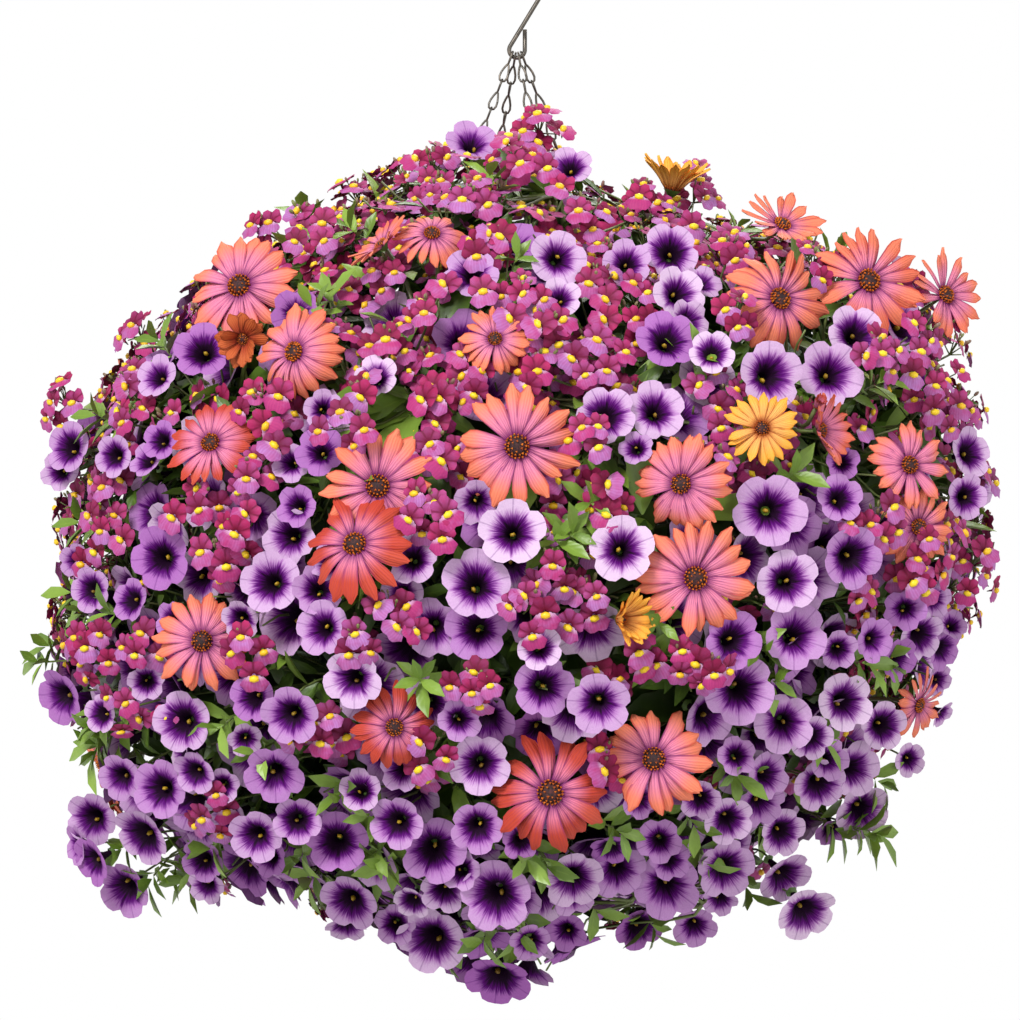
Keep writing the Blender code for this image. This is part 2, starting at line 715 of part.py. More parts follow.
def stalk_sections(bm, ring, path, matrix):
    """Close a bloom's open back with a three-sided stalk that runs along a path."""
    turns = [round(math.atan2(vert.co.y, vert.co.x) / (math.tau / 3)) % 3 for vert in ring]
    bm.transform(matrix)
    axis = matrix.to_3x3() @ Vector((0, 0, 1))
    along = (axis + (path[0] - path[1]).normalized()).normalized()
    section = three_corners(bm, path[0], along, matrix.to_3x3() @ Vector((1, 0, 0)), STALK)
    for k, vert in enumerate(ring):
        after = (k + 1) % len(ring)
        bm.faces.new((vert, ring[after], section[turns[k]]))
        if turns[k] != turns[after]:
            bm.faces.new((ring[after], section[turns[after]], section[turns[k]]))
    side = section[0].co - path[0]
    for before, point in zip(path, path[1:]):
        following = three_corners(bm, point, (before - point).normalized(), side, STALK)
        join_corners(bm, section, following)
        section = following
        side = section[0].co - point
    bm.faces.new(section)
    bmesh.ops.recalc_face_normals(bm, faces=bm.faces)


def stalked_bloom(kind, radius, matrix, path, parts):
    """Bloom and its stalk as one closed solid."""
    bm = bloom_mesh(kind, radius)
    back = min(bm.verts, key=lambda vert: vert.co.z)
    ring = sorted(
        (edge.other_vert(back) for edge in back.link_edges),
        key=lambda vert: math.atan2(vert.co.y, vert.co.x),
    )
    bmesh.ops.delete(bm, geom=[back], context="VERTS")
    stalk_sections(bm, ring, path, matrix)
    return object_from(bm, "bloom", parts)


def limb_object(path, parts):
    """Main stem: a three-sided wire along a path."""
    bm = bmesh.new()
    sections = []
    side = Vector((0.31, 0.21, 0.93))
    for k, point in enumerate(path):
        along = (path[min(len(path) - 1, k + 1)] - path[max(0, k - 1)]).normalized()
        sections.append(three_corners(bm, point, along, side, LIMB))
        side = sections[-1][0].co - point
    for low, high in zip(sections, sections[1:]):
        join_corners(bm, low, high)
    bm.faces.new(sections[0])
    bm.faces.new(sections[-1])
    bmesh.ops.recalc_face_normals(bm, faces=bm.faces)
    return object_from(bm, "limb", parts)


def leaf_mesh(length, width, thickness):
    """Leaf: a long four-cornered lens with its root at the origin, pointing along +Z."""
    bm = bmesh.new()
    bmesh.ops.create_uvsphere(bm, u_segments=4, v_segments=2, radius=1)
    bmesh.ops.scale(bm, vec=(width / 2, length / 2, thickness / 2), verts=bm.verts)
    bmesh.ops.translate(bm, vec=(0, length / 2, 0), verts=bm.verts)
    bmesh.ops.rotate(bm, matrix=Matrix.Rotation(math.pi / 2, 3, "X"), verts=bm.verts)
    return bm


def bar_tree(start, end, radius):
    """Search tree, middle and reach of a straight three-sided bar."""
    bm = bmesh.new()
    along = (end - start).normalized()
    side = Vector((0.31, 0.21, 0.93))
    low = three_corners(bm, start, along, side, radius)
    high = three_corners(bm, end, along, side, radius)
    join_corners(bm, low, high)
    bm.faces.new(low)
    bm.faces.new(high)
    tree = BVHTree.FromBMesh(bm)
    bm.free()
    return tree, (start + end) / 2, (end - start).length / 2 + radius


class Garden:
    """Solids placed so far, by node, with a test that keeps the nodes clear of each other."""

    def __init__(self):
        self.rows = []

    def add(self, node, tree, centre, reach, is_stem=False):
        """Keep a solid's search tree with a sphere round it."""
        self.rows.append((node, tree, centre, reach, is_stem))

    def is_clear(self, node, trial, own=None):
        """Whether a trial solid misses the other nodes, and its own node's blooms and leaves."""
        tree, centre, reach = trial
        for other, other_tree, other_centre, other_reach, is_stem in self.rows:
            if (other_centre - centre).length > reach + other_reach:
                continue
            if other_tree is own or (other == node and is_stem):
                continue
            if tree.overlap(other_tree):
                return False
        return True


class Plant:
    """One plant: its crown, the joints of its main stems and its solids."""

    def __init__(self, kind, word, crown, garden, parts):
        self.kind = kind
        self.name = kind + "_" + word
        self.garden = garden
        self.parts = parts
        self.crown = crown
        self.draw = random.Random(self.name)
        self.solids = [cylinder_object(
            self.name, CROWN_RADIUS - CLEARANCE, CLEARANCE - CROWN_DEPTH, CROWN_RISE, crown, parts, 5,
        )]
        self.joints = []
        self.uses = []
        self.stalks = []

    def path_is_clear(self, path, radius, own=None):
        """Whether a stem along a path misses what it must miss."""
        bars = (bar_tree(start, end, radius + STEM_MARGIN) for start, end in zip(path, path[1:]))
        return all(self.garden.is_clear(self.name, bar, own) for bar in bars)

    def register_path(self, path, radius):
        """Enter a stem in the garden."""
        for start, end in zip(path, path[1:]):
            self.garden.add(self.name, *bar_tree(start, end, radius), radius == LIMB)

    def wander(self, reach):
        """Random step."""
        return Vector([self.draw.uniform(-reach, reach) for _ in range(3)])

    def add_limb(self, path):
        """Main stem along a path, bent clear of what is in its way."""
        for attempt in range(80):
            reach = 0.003 + 0.0012 * attempt
            trial = path[:1] + [point + self.wander(reach) for point in path[1:]]
            if self.path_is_clear(trial, LIMB):
                self.solids.append(limb_object(trial, self.parts))
                self.register_path(trial, LIMB)
                for start, end in zip(trial[1:], trial[2:]):
                    pieces = max(1, round((end - start).length / JOINT_SPACING))
                    self.joints += [start.lerp(end, (k + 0.5) / pieces) for k in range(pieces)]
                    self.uses += [0] * pieces
                return

    def add_limbs(self):
        """Main stems: up into the ball, out to its side, and over the rim down outside the pot."""
        outward = Vector((self.crown.x, self.crown.y, 0)).normalized()
        root = self.crown + Vector((0, 0, CROWN_RISE - 0.004))
        for turn, stations in LIMBS:
            way = Matrix.Rotation(math.radians(turn), 3, "Z") @ outward
            self.add_limb([root] + [way * r + Vector((0, 0, POT_RIM_Z + z)) for r, z in stations])

    def add_bloom(self, place, axis, radius, own):
        """Bloom on a stalk from a near joint of the plant's main stems."""
        back = KINDS[self.kind]["back"] * radius * 0.97
        neck = place - axis * back
        matrix = facing_matrix(place, axis, self.draw.uniform(0, math.tau))
        for attempt in range(240):
            order = sorted(
                range(len(self.joints)),
                key=lambda k: (self.joints[k] - neck).length + 0.05 * self.uses[k],
            )
            pick = order[attempt % min(24, len(order))]
            path = [neck, self.joints[pick] + self.wander(JOINT_WANDER)]
            if attempt >= 24:
                reach = 0.006 + 0.0003 * attempt
                path.insert(1, neck.lerp(self.joints[pick], 0.4) + self.wander(reach))
            bend = (path[0] - path[1]).angle(axis)
            if bend < MOST_BEND and self.path_is_clear(path, STALK, own):
                self.solids.append(stalked_bloom(self.kind, radius, matrix, path, self.parts))
                self.register_path(path, STALK)
                self.uses[pick] += 1
                first_stretch = self.garden.rows[1 - len(path)][1]
                self.stalks.append((path, first_stretch))
                return

    def add_leaf(self):
        """Leaf from a stalk, outward, where it is clear and inside the ball."""
        length, width = (size * self.draw.uniform(0.8, 1.15) for size in LEAF_SIZES[self.kind])
        path, own = self.draw.choice(self.stalks)
        root = path[0].lerp(path[1], self.draw.uniform(0.25, 0.7))
        axis = ((root - BALL_CENTRE).normalized() + self.wander(0.8)).normalized()
        offset = root + axis * length - BALL_CENTRE
        if offset.length > ball_radius(offset.normalized()) - LEAF_DEPTH:
            return False
        matrix = facing_matrix(root - axis * STALK, axis, self.draw.uniform(0, math.tau))
        guard = leaf_mesh(length + 0.001, width + 0.0014, LEAF_THICKNESS + 0.001)
        guard.transform(matrix)
        trial = (BVHTree.FromBMesh(guard), root + axis * length / 2, length / 2 + 0.003)
        guard.free()
        if not self.garden.is_clear(self.name, trial, own):
            return False
        leaf = leaf_mesh(length, width, LEAF_THICKNESS)
        leaf.transform(matrix)
        self.solids.append(object_from(leaf, "leaf", self.parts))
        self.garden.add(self.name, *trial)
        return True


def nearest_plant(plants, kind, place):
    """Plant of a kind whose crown lies nearest in azimuth to a place."""
    turn = math.atan2(place.y, place.x)

    def away(plant):
        return abs((math.atan2(plant.crown.y, plant.crown.x) - turn + math.pi) % math.tau - math.pi)

    return min((plant for plant in plants if plant.kind == kind), key=away)


def register_solid(garden, thing):
    """Enter a finished object in the garden's list of solids."""
    bm = bmesh.new()
    bm.from_mesh(evaluated_mesh(thing))
    tree = BVHTree.FromBMesh(bm)
    low = Vector([min(vert.co[k] for vert in bm.verts) for k in range(3)])
    high = Vector([max(vert.co[k] for vert in bm.verts) for k in range(3)])
    bm.free()
    garden.add(thing.name, tree, (low + high) / 2, (high - low).length / 2)


def build_plants(garden, parts, finishes):
    """All the plants: the blooms first claim their places, then stems and leaves find their way."""
    plants = [Plant(kind, word, crown, garden, parts) for kind, word, crown in plant_rows()]
    rows = []
    for kind, place, axis, radius in settle(listed_blooms() + grid_blooms()):
        plant = nearest_plant(plants, kind, place)
        points, faces = double_cone(kind, radius)
        tree = tree_of(points, faces, facing_matrix(place, axis, 0))
        garden.add(plant.name, tree, place, radius * 1.2)
        rows.append((plant, place, axis, radius, tree))
    for plant in plants:
        plant.add_limbs()
    rows.sort(key=lambda row: (row[1] - row[0].crown).length)
    for plant, place, axis, radius, tree in rows:
        plant.add_bloom(place, axis, radius, tree)
    for plant in plants:
        leaves = 0
        for _ in range(600):
            leaves += plant.add_leaf()
            if leaves == LEAVES_PER_PLANT[plant.kind]:
                break
    for plant in plants:
        fuse(plant.name, plant.solids, parts, finishes[plant.kind])


def main():
    """Clear the scene and build the basket."""
    for old in list(bpy.data.objects):
        bpy.data.objects.remove(old)
    parts = bpy.data.collections.new(NAME)
    cutters = bpy.data.collections.new("cutters")
    bpy.context.scene.collection.children.link(parts)
    bpy.context.scene.collection.children.link(cutters)
    steel = material("dark_steel", (0.10, 0.09, 0.07), 0.45, 1.0)
    plastic = material("pot_plastic", (0.03, 0.035, 0.03), 0.6)
    soil_finish = material("soil", (0.05, 0.035, 0.025), 0.95)
    finishes = {
        "osteospermum": material("osteospermum", (0.80, 0.30, 0.25), 0.55),
        "calibrachoa": material("calibrachoa", (0.55, 0.35, 0.75), 0.55),
        "nemesia": material("nemesia", (0.70, 0.05, 0.30), 0.55),
    }
    garden = Garden()
    hook = build_hook(parts, steel)
    register_solid(garden, hook)
    for number, word in enumerate(("left", "back", "front", "right")):
        leg = build_leg(number, word, parts, steel)
        register_solid(garden, leg)
    pot = build_pot(parts, cutters, plastic)
    register_solid(garden, pot)
    soil = build_soil(parts, cutters, soil_finish)
    register_solid(garden, soil)
    build_plants(garden, parts, finishes)


main()
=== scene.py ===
"""Looks of a hanging basket planted with osteospermum, calibrachoa and nemesia.

Metres, +Z up, front towards -Y, the origin at the hang point. The blooms stand where the part's
solids have theirs, because both follow the same layout, and finer petals, leaves and stems take
the place of each plant's solid.
"""
import itertools
import logging
import math
import random
from collections.abc import Callable, Iterator
from dataclasses import dataclass, field
from enum import Enum

import bpy
import numpy as np
from mathutils import Matrix, Vector
from mathutils.bvhtree import BVHTree


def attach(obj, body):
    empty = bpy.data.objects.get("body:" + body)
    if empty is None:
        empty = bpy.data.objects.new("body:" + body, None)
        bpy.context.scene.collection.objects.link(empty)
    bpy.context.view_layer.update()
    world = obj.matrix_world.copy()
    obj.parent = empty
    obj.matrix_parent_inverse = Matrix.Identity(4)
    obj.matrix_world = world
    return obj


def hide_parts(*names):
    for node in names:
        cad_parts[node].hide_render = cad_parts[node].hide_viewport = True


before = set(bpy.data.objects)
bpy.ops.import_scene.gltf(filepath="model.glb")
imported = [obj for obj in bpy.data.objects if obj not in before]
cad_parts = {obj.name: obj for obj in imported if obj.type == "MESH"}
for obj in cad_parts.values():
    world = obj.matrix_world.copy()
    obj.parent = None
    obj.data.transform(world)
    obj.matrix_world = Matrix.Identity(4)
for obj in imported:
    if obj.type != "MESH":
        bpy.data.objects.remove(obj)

LOG = logging.getLogger("basket")
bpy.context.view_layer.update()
Rgb = tuple[float, float, float]


class Kind(Enum):
    """The three plants of the basket."""

    OSTEOSPERMUM = "osteospermum"
    CALIBRACHOA = "calibrachoa"
    NEMESIA = "nemesia"


class Mood(Enum):
    """How a daisy is opened and coloured."""

    OPEN = "open"
    DEEP = "deep"
    PEACH = "peach"
    CUPPED = "cupped"
    GOLDEN = "golden"
    HALF_CLOSED = "half_closed"
    WILTED = "wilted"
    BUD = "bud"


@dataclass(frozen=True)
class Habit:
    """How a kind grows: its bloom's double cone, in radii, and its sizes, in metres."""

    sides: int
    front: float
    back: float
    facing: float
    grid_radius: float
    neck: float
    girth: float
    leaf_least: float
    leaf_most: float
    leaf_spacing: float


KINDS = {
    Kind.OSTEOSPERMUM: Habit(10, 0.17, 0.34, 0.45, 0.030, 0.18, 0.0013, 0.034, 0.054, 0.016),
    Kind.CALIBRACHOA: Habit(10, 0.06, 1.15, 0.50, 0.0185, 1.15, 0.0007, 0.015, 0.026, 0.008),
    Kind.NEMESIA: Habit(8, 0.45, 1.0, 0.60, 0.0145, 0.7, 0.0007, 0.018, 0.032, 0.011),
}


# The flat view that the blooms were laid out on: 1020 units square, seen from the front.
UNIT = 0.00055
HANG_ACROSS = 517.0
HANG_DOWN = -50.6
VIEW_MIDDLE = 510.0
VIEW_DISTANCE = 2.2

# Sizes that the layout shares with the part's solids.
CLEARANCE = 0.0003
HOOK_WIRE = 0.0012
HOOK_LOW_BEND = 0.0043
HOOK_LOW_Z = -0.0553
CHAIN_WIRE = 0.0006
CHAIN_LOOP_WIDTH = 0.0054
LEG_SPREAD = 0.0016
LEG_ANGLES = tuple(math.radians(angle) for angle in (205, 115, 295, 25))
POT_RIM_Z = -0.330
POT_FLOOR_Z = -0.445
SOIL_Z = -0.342
LUG_HOLE_RING = 0.1135
LUG_HOLE_RISE = 0.0063
BAR_RISE = 0.0015
BALL_CENTRE = Vector((0.0, 0.0, -0.334))
BALL_DEPTH = 0.245
BALL_OUTLINE = (
    0.264, 0.266, 0.280, 0.250, 0.222, 0.212, 0.236, 0.228, 0.224, 0.232, 0.246, 0.258,
    0.256, 0.266, 0.270, 0.254, 0.224, 0.226, 0.238, 0.212, 0.220, 0.222, 0.234, 0.248,
)
# How far a bloom may slide towards the eye or back, and shrink, to be clear of the others.
LIFTS = tuple(sign * 0.003 * step for step in range(9) for sign in (-1, 1))
SHRINKS = (1.0, 0.88, 0.76)
# Blooms that face the front: across, down and width in units of the flat view, then the angles
# in degrees by which a daisy is turned to the right and tipped up, where it is.
DAISIES = (
    (240, 286, 112, 0, 0), (295, 352, 98, 0, 0), (211, 443, 90, 0, 15), (243, 339, 56, 0, -30),
    (432, 234, 78, -10, 15), (382, 245, 70, -35, 30), (495, 339, 70, 0, 10), (378, 486, 113, 0, 0),
    (355, 544, 113, -5, -5), (517, 446, 120, 0, 0), (681, 484, 97, 0, 0), (695, 578, 115, 0, 0),
    (202, 641, 102, 0, 0), (394, 727, 86, 0, 0), (550, 793, 125, 0, -15), (654, 759, 112, 0, 0),
    (782, 225, 83, 0, 10), (779, 299, 108, 0, 0), (868, 281, 111, 0, 0), (945, 295, 88, 10, 0),
    (762, 428, 73, 0, 0), (820, 430, 78, 40, 0), (909, 465, 86, 0, 0), (918, 527, 80, 0, 0),
    (918, 705, 72, 30, -10), (672, 190, 60, 0, 25), (620, 619, 50, 0, 0), (816, 407, 30, 0, 40),
)
TRUMPETS = (
    (472, 141, 52), (570, 166, 45), (558, 258, 57), (471, 273, 55), (670, 251, 58), (679, 293, 55),
    (667, 339, 62), (559, 298, 45), (627, 263, 50), (202, 350, 58), (68, 447, 50), (113, 456, 43),
    (156, 376, 45), (160, 440, 40), (376, 376, 45), (323, 409, 40), (606, 415, 60), (656, 410, 60),
    (771, 375, 66), (831, 373, 66), (857, 334, 60), (712, 352, 45), (971, 452, 50), (967, 497, 45),
    (160, 558, 63), (270, 582, 62), (60, 698, 58), (182, 722, 60), (252, 697, 50), (90, 590, 45),
    (75, 561, 35), (100, 714, 40), (512, 532, 67), (476, 584, 70), (476, 629, 63), (320, 451, 50),
    (412, 559, 50), (322, 628, 55), (402, 594, 45), (346, 443, 40), (622, 549, 66), (540, 648, 45),
    (544, 687, 60), (599, 704, 62), (770, 510, 74), (840, 498, 48), (788, 581, 64), (853, 558, 64),
    (796, 636, 66), (734, 640, 62), (875, 640, 45), (740, 690, 70), (846, 702, 60), (784, 724, 60),
    (884, 726, 50), (922, 636, 50), (812, 738, 45), (352, 680, 60), (430, 703, 55), (290, 716, 60),
    (274, 775, 60), (120, 778, 48), (159, 789, 60), (194, 773, 45), (91, 819, 55), (91, 862, 50),
    (141, 837, 63), (123, 890, 60), (202, 861, 45), (255, 837, 55), (297, 821, 48), (337, 842, 62),
    (349, 903, 60), (396, 823, 55), (434, 851, 68), (480, 765, 60), (477, 828, 55), (496, 896, 73),
    (431, 941, 70), (444, 892, 48), (521, 841, 40), (498, 981, 65), (530, 942, 40), (573, 880, 60),
    (618, 871, 58), (667, 887, 68), (640, 929, 50), (695, 928, 45), (726, 869, 60), (729, 821, 50),
    (760, 805, 52), (820, 785, 54), (856, 769, 56), (863, 812, 57), (783, 833, 50), (786, 878, 58),
    (807, 914, 63), (910, 760, 35),
)
HEADS = (
    (540, 118, 52), (515, 150, 46), (430, 160, 46), (468, 195, 50), (590, 212, 52), (645, 190, 40),
    (700, 190, 50), (490, 240, 44), (262, 225, 46), (300, 215, 44), (384, 271, 46), (425, 313, 40),
    (386, 339, 44), (521, 294, 48), (550, 325, 44), (600, 283, 48), (630, 319, 46), (733, 250, 46),
    (820, 262, 44), (740, 312, 42), (130, 330, 46), (128, 386, 44), (53, 401, 50), (123, 422, 44),
    (600, 355, 50), (540, 365, 44), (470, 362, 44), (441, 397, 44), (362, 396, 44), (260, 405, 46),
    (910, 285, 46), (925, 335, 50), (885, 352, 44), (935, 385, 52), (970, 415, 46), (730, 400, 46),
    (437, 440, 44), (350, 425, 36), (590, 435, 46), (103, 487, 46), (196, 500, 48), (250, 475, 44),
    (560, 480, 46), (606, 500, 44), (425, 510, 46), (100, 535, 48), (236, 532, 44), (215, 560, 40),
    (885, 525, 48), (945, 540, 50), (984, 565, 46), (920, 580, 48), (860, 590, 44), (553, 570, 44),
    (530, 610, 46), (590, 600, 44), (390, 615, 46), (355, 640, 40), (85, 650, 46), (136, 653, 42),
    (245, 645, 44), (638, 651, 42), (680, 662, 44), (475, 688, 48), (126, 710, 44), (325, 730, 42),
    (430, 755, 46), (713, 673, 40), (605, 770, 44), (210, 815, 46),
)
# The even all-round grid of blooms, where the front view doesn't reach.
GRID_POINTS = 100
GRID_SEED = 7
GRID_INSET = 0.004
GRID_KINDS = tuple(Kind(name) for name in (
    "calibrachoa", "nemesia", "osteospermum", "calibrachoa", "nemesia", "calibrachoa",
))
FRONT_LIMIT = -0.12
# Plants: distance of the crowns from the pot's axis, and the azimuth of each.
PLANTS = {
    "osteospermum": (
        0.040, {"left": -150, "front": -90, "right": -30, "back_right": 50, "back_left": 130},
    ),
    "nemesia": (
        0.066, {"front_left": -120, "front_right": -60, "right": 0, "back_right": 60,
                "back_left": 120, "left": 180},
    ),
    "calibrachoa": (
        0.090, {"left": -155, "front": -100, "right": -45, "far_right": 15, "back": 85,
                "back_left": 150},
    ),
}
CROWNS = {
    f"{kind}_{word}": Vector((
        ring * math.cos(math.radians(angle)), ring * math.sin(math.radians(angle)), SOIL_Z,
    ))
    for kind, (ring, angles) in PLANTS.items()
    for word, angle in angles.items()
}
# Main stems: stations of distance from the pot's axis and height over its rim, and the degrees
# that each stem turns from its crown's azimuth.
RISING = ((0.055, 0.06), (0.075, 0.13), (0.085, 0.18))
LEVEL = ((0.110, 0.03), (0.150, 0.06), (0.185, 0.07))
HANGING = ((0.106, 0.020), (0.142, 0.006), (0.164, -0.085), (0.112, -0.185))
LIMBS = ((20, RISING), (-15, LEVEL), (0, HANGING), (42, RISING), (7, LEVEL))
LEAF_TURN = 2.4
SHOOT_GIRTHS = (0.0006, 0.0012)
# How far the modelled rays sweep back, as a share of their length.
RAY_SWEEPS = (-0.24, -0.08, 0.04, 0.18, 0.34)
# Degrees past which a piece's surface turns sharply, as it does at the rims of petals and leaves.
PETAL_EDGE = 125
SOLID_EDGE = 35
SOIL_EDGE = 40
GOLDEN = math.pi * (3 - math.sqrt(5))

# Daisies that aren't simply open and level, by their place in the flat view: how each is opened
# and coloured, the degrees that it turns to the right and tips up, and how far its rays sweep
# back, as a share of their length.
DAISY_LOOKS = {
    (295, 352): (Mood.OPEN, -22, 0, 0.28), (211, 443): (Mood.DEEP, 0, 0, 0.10),
    (243, 339): (Mood.WILTED, 0, 0, 0.0), (432, 234): (Mood.OPEN, 18, 6, 0.25),
    (382, 245): (Mood.OPEN, -8, 4, -0.10), (495, 339): (Mood.PEACH, 0, 0, 0.10),
    (378, 486): (Mood.PEACH, 0, 0, 0.0), (355, 544): (Mood.DEEP, 0, 20, 0.30),
    (517, 446): (Mood.OPEN, 0, -8, 0.15), (681, 484): (Mood.OPEN, -18, 0, 0.28),
    (202, 641): (Mood.OPEN, 14, 10, 0.28), (394, 727): (Mood.DEEP, 16, 8, 0.28),
    (550, 793): (Mood.DEEP, 0, 36, 0.34), (654, 759): (Mood.OPEN, -14, 18, 0.28),
    (782, 225): (Mood.PEACH, 5, 12, -0.20), (779, 299): (Mood.OPEN, 14, 0, 0.22),
    (945, 295): (Mood.OPEN, 0, 0, -0.10), (762, 428): (Mood.GOLDEN, -12, 0, 0.12),
    (820, 430): (Mood.CUPPED, 0, 0, -0.10), (909, 465): (Mood.PEACH, 0, 0, 0.10),
    (918, 527): (Mood.PEACH, 0, 0, 0.15), (672, 190): (Mood.HALF_CLOSED, 0, 25, 0.0),
    (620, 619): (Mood.HALF_CLOSED, 38, 0, 0.0), (816, 407): (Mood.BUD, 0, 0, 0.0),
}
LEVEL_LOOK = (Mood.OPEN, 0, 0, 0.05)
# Degrees by which the rays of some moods stand up, their tones, and the finish of their rays.
MOOD_LIFTS = {Mood.CUPPED: 24, Mood.HALF_CLOSED: 50, Mood.BUD: 76, Mood.WILTED: 30}
MOOD_TONES = {Mood.DEEP: 0.85, Mood.PEACH: 0.05, Mood.CUPPED: 0.5, Mood.BUD: 0.9}
MOOD_SLOTS = {Mood.GOLDEN: 1, Mood.HALF_CLOSED: 1, Mood.WILTED: 2}
# Rings of open florets on a daisy's disc: radius, count and height, in daisy radii.
DISC_RINGS = ((0.09, 6, 0.10), (0.15, 14, 0.08), (0.195, 20, 0.04))
# More trumpets of the front view, behind and between those of the solids.
MORE_TRUMPETS = (
    (296, 506, 42), (222, 786, 36), (636, 448, 34), (843, 462, 36), (659, 841, 45), (953, 624, 34),
    (346, 930, 45), (720, 901, 40), (833, 832, 40), (146, 459, 40), (164, 451, 35), (296, 313, 50),
    (705, 281, 40), (146, 682, 40), (318, 589, 50), (290, 463, 40), (477, 503, 45), (839, 650, 40),
    (939, 681, 34), (943, 715, 32), (737, 756, 40), (245, 740, 35), (206, 886, 40), (497, 787, 45),
    (412, 903, 40), (573, 895, 50), (566, 932, 44), (769, 775, 50), (269, 858, 40), (60, 470, 44),
    (130, 600, 44), (118, 470, 44), (870, 360, 46), (610, 430, 52), (690, 320, 44), (945, 650, 46),
    (900, 660, 46), (75, 845, 44), (330, 560, 44), (460, 720, 44), (520, 820, 44), (640, 800, 40),
    (700, 800, 42), (560, 905, 46), (400, 770, 44), (240, 620, 40), (170, 620, 38), (905, 610, 44),
    (935, 600, 40), (480, 740, 44), (300, 700, 46), (360, 790, 44), (150, 760, 44), (670, 860, 44),
    (610, 850, 40), (460, 870, 42), (395, 925, 44), (520, 930, 44), (740, 850, 44), (830, 760, 44),
)
# Florets of the front view, gathered on the heads nearest to them.
FLORETS = (
    (537, 115), (508, 138), (560, 130), (520, 164), (546, 168), (468, 158), (445, 158), (418, 160),
    (476, 180), (462, 200), (528, 190), (561, 187), (578, 211), (606, 213), (639, 197), (697, 165),
    (704, 198), (692, 226), (490, 235), (476, 255), (501, 236), (253, 225), (270, 223), (300, 213),
    (323, 223), (296, 241), (323, 241), (374, 271), (394, 272), (342, 301), (425, 313), (386, 339),
    (445, 285), (483, 291), (521, 294), (542, 299), (512, 318), (540, 325), (560, 320), (589, 283),
    (611, 278), (607, 299), (632, 283), (646, 293), (634, 319), (649, 319), (606, 319), (732, 234),
    (733, 260), (806, 248), (822, 279), (843, 265), (742, 298), (736, 327), (134, 325), (123, 338),
    (128, 386), (169, 383), (202, 379), (53, 401), (123, 422), (574, 357), (597, 340), (624, 352),
    (607, 369), (584, 374), (543, 352), (536, 371), (462, 354), (483, 370), (528, 386), (475, 393),
    (441, 397), (362, 396), (424, 399), (280, 395), (241, 410), (303, 429), (265, 425), (900, 286),
    (920, 285), (943, 297), (914, 323), (937, 342), (919, 351), (863, 355), (896, 350), (912, 373),
    (959, 371), (935, 385), (933, 409), (959, 405), (975, 417), (949, 428), (716, 373), (736, 390),
    (720, 426), (745, 424), (437, 423), (429, 443), (442, 460), (341, 412), (363, 429), (320, 430),
    (581, 427), (598, 426), (596, 446), (679, 419), (697, 386), (103, 487), (196, 488), (247, 477),
    (275, 446), (560, 480), (606, 485), (607, 513), (436, 502), (410, 518), (446, 513), (442, 537),
    (91, 515), (123, 539), (174, 516), (199, 508), (247, 513), (236, 532), (202, 551), (226, 564),
    (83, 562), (113, 578), (103, 594), (869, 524), (891, 506), (851, 522), (883, 537), (928, 538),
    (963, 533), (984, 551), (916, 558), (951, 555), (911, 581), (940, 574), (967, 591), (994, 588),
    (860, 578), (553, 564), (525, 595), (596, 595), (545, 612), (570, 625), (568, 642), (532, 634),
    (511, 605), (377, 605), (399, 625), (418, 630), (355, 632), (66, 643), (101, 633), (109, 661),
    (88, 678), (136, 653), (242, 636), (254, 675), (638, 651), (680, 672), (445, 646), (451, 685),
    (472, 691), (489, 684), (126, 702), (164, 717), (123, 730), (329, 715), (322, 741), (292, 738),
    (421, 740), (446, 757), (418, 767), (713, 673), (605, 770), (196, 823), (221, 833), (216, 793),
    (108, 696),
)
# Leafy tips that show in the front view.
SPRIGS = (
    (35, 650), (25, 665), (70, 618), (98, 614), (90, 724), (86, 735), (81, 748), (85, 766), (113, 856),
    (161, 874), (186, 879), (178, 890), (204, 856), (143, 895), (297, 867), (303, 894), (362, 821),
    (339, 805), (369, 860), (381, 873), (525, 869), (550, 876), (629, 839), (600, 919), (479, 950),
    (518, 944), (576, 532), (595, 505), (769, 654), (782, 685), (878, 666), (900, 675), (835, 744),
    (893, 792), (711, 873), (701, 837), (742, 782), (879, 844), (890, 837), (754, 903), (488, 165),
    (211, 735), (340, 220), (326, 283), (306, 303), (520, 251), (849, 242), (743, 218), (894, 375),
    (85, 412), (70, 520), (60, 590), (440, 965), (660, 945), (850, 840), (300, 205), (560, 540),
    (355, 470), (660, 630), (420, 680), (250, 760), (800, 470), (700, 350), (150, 330),
)


@dataclass
class Bloom:
    """A bloom or head: its place, look, radius, way to slide, mark in the flat view and plant."""

    kind: Kind
    place: Vector
    axis: Vector
    radius: float
    slide: Vector | None = None
    mark: tuple[int, int] | None = None
    plant: str = ""
    lift: float = 0.0
    filler: bool = False
    florets: list[tuple[int, int]] = field(default_factory=list)


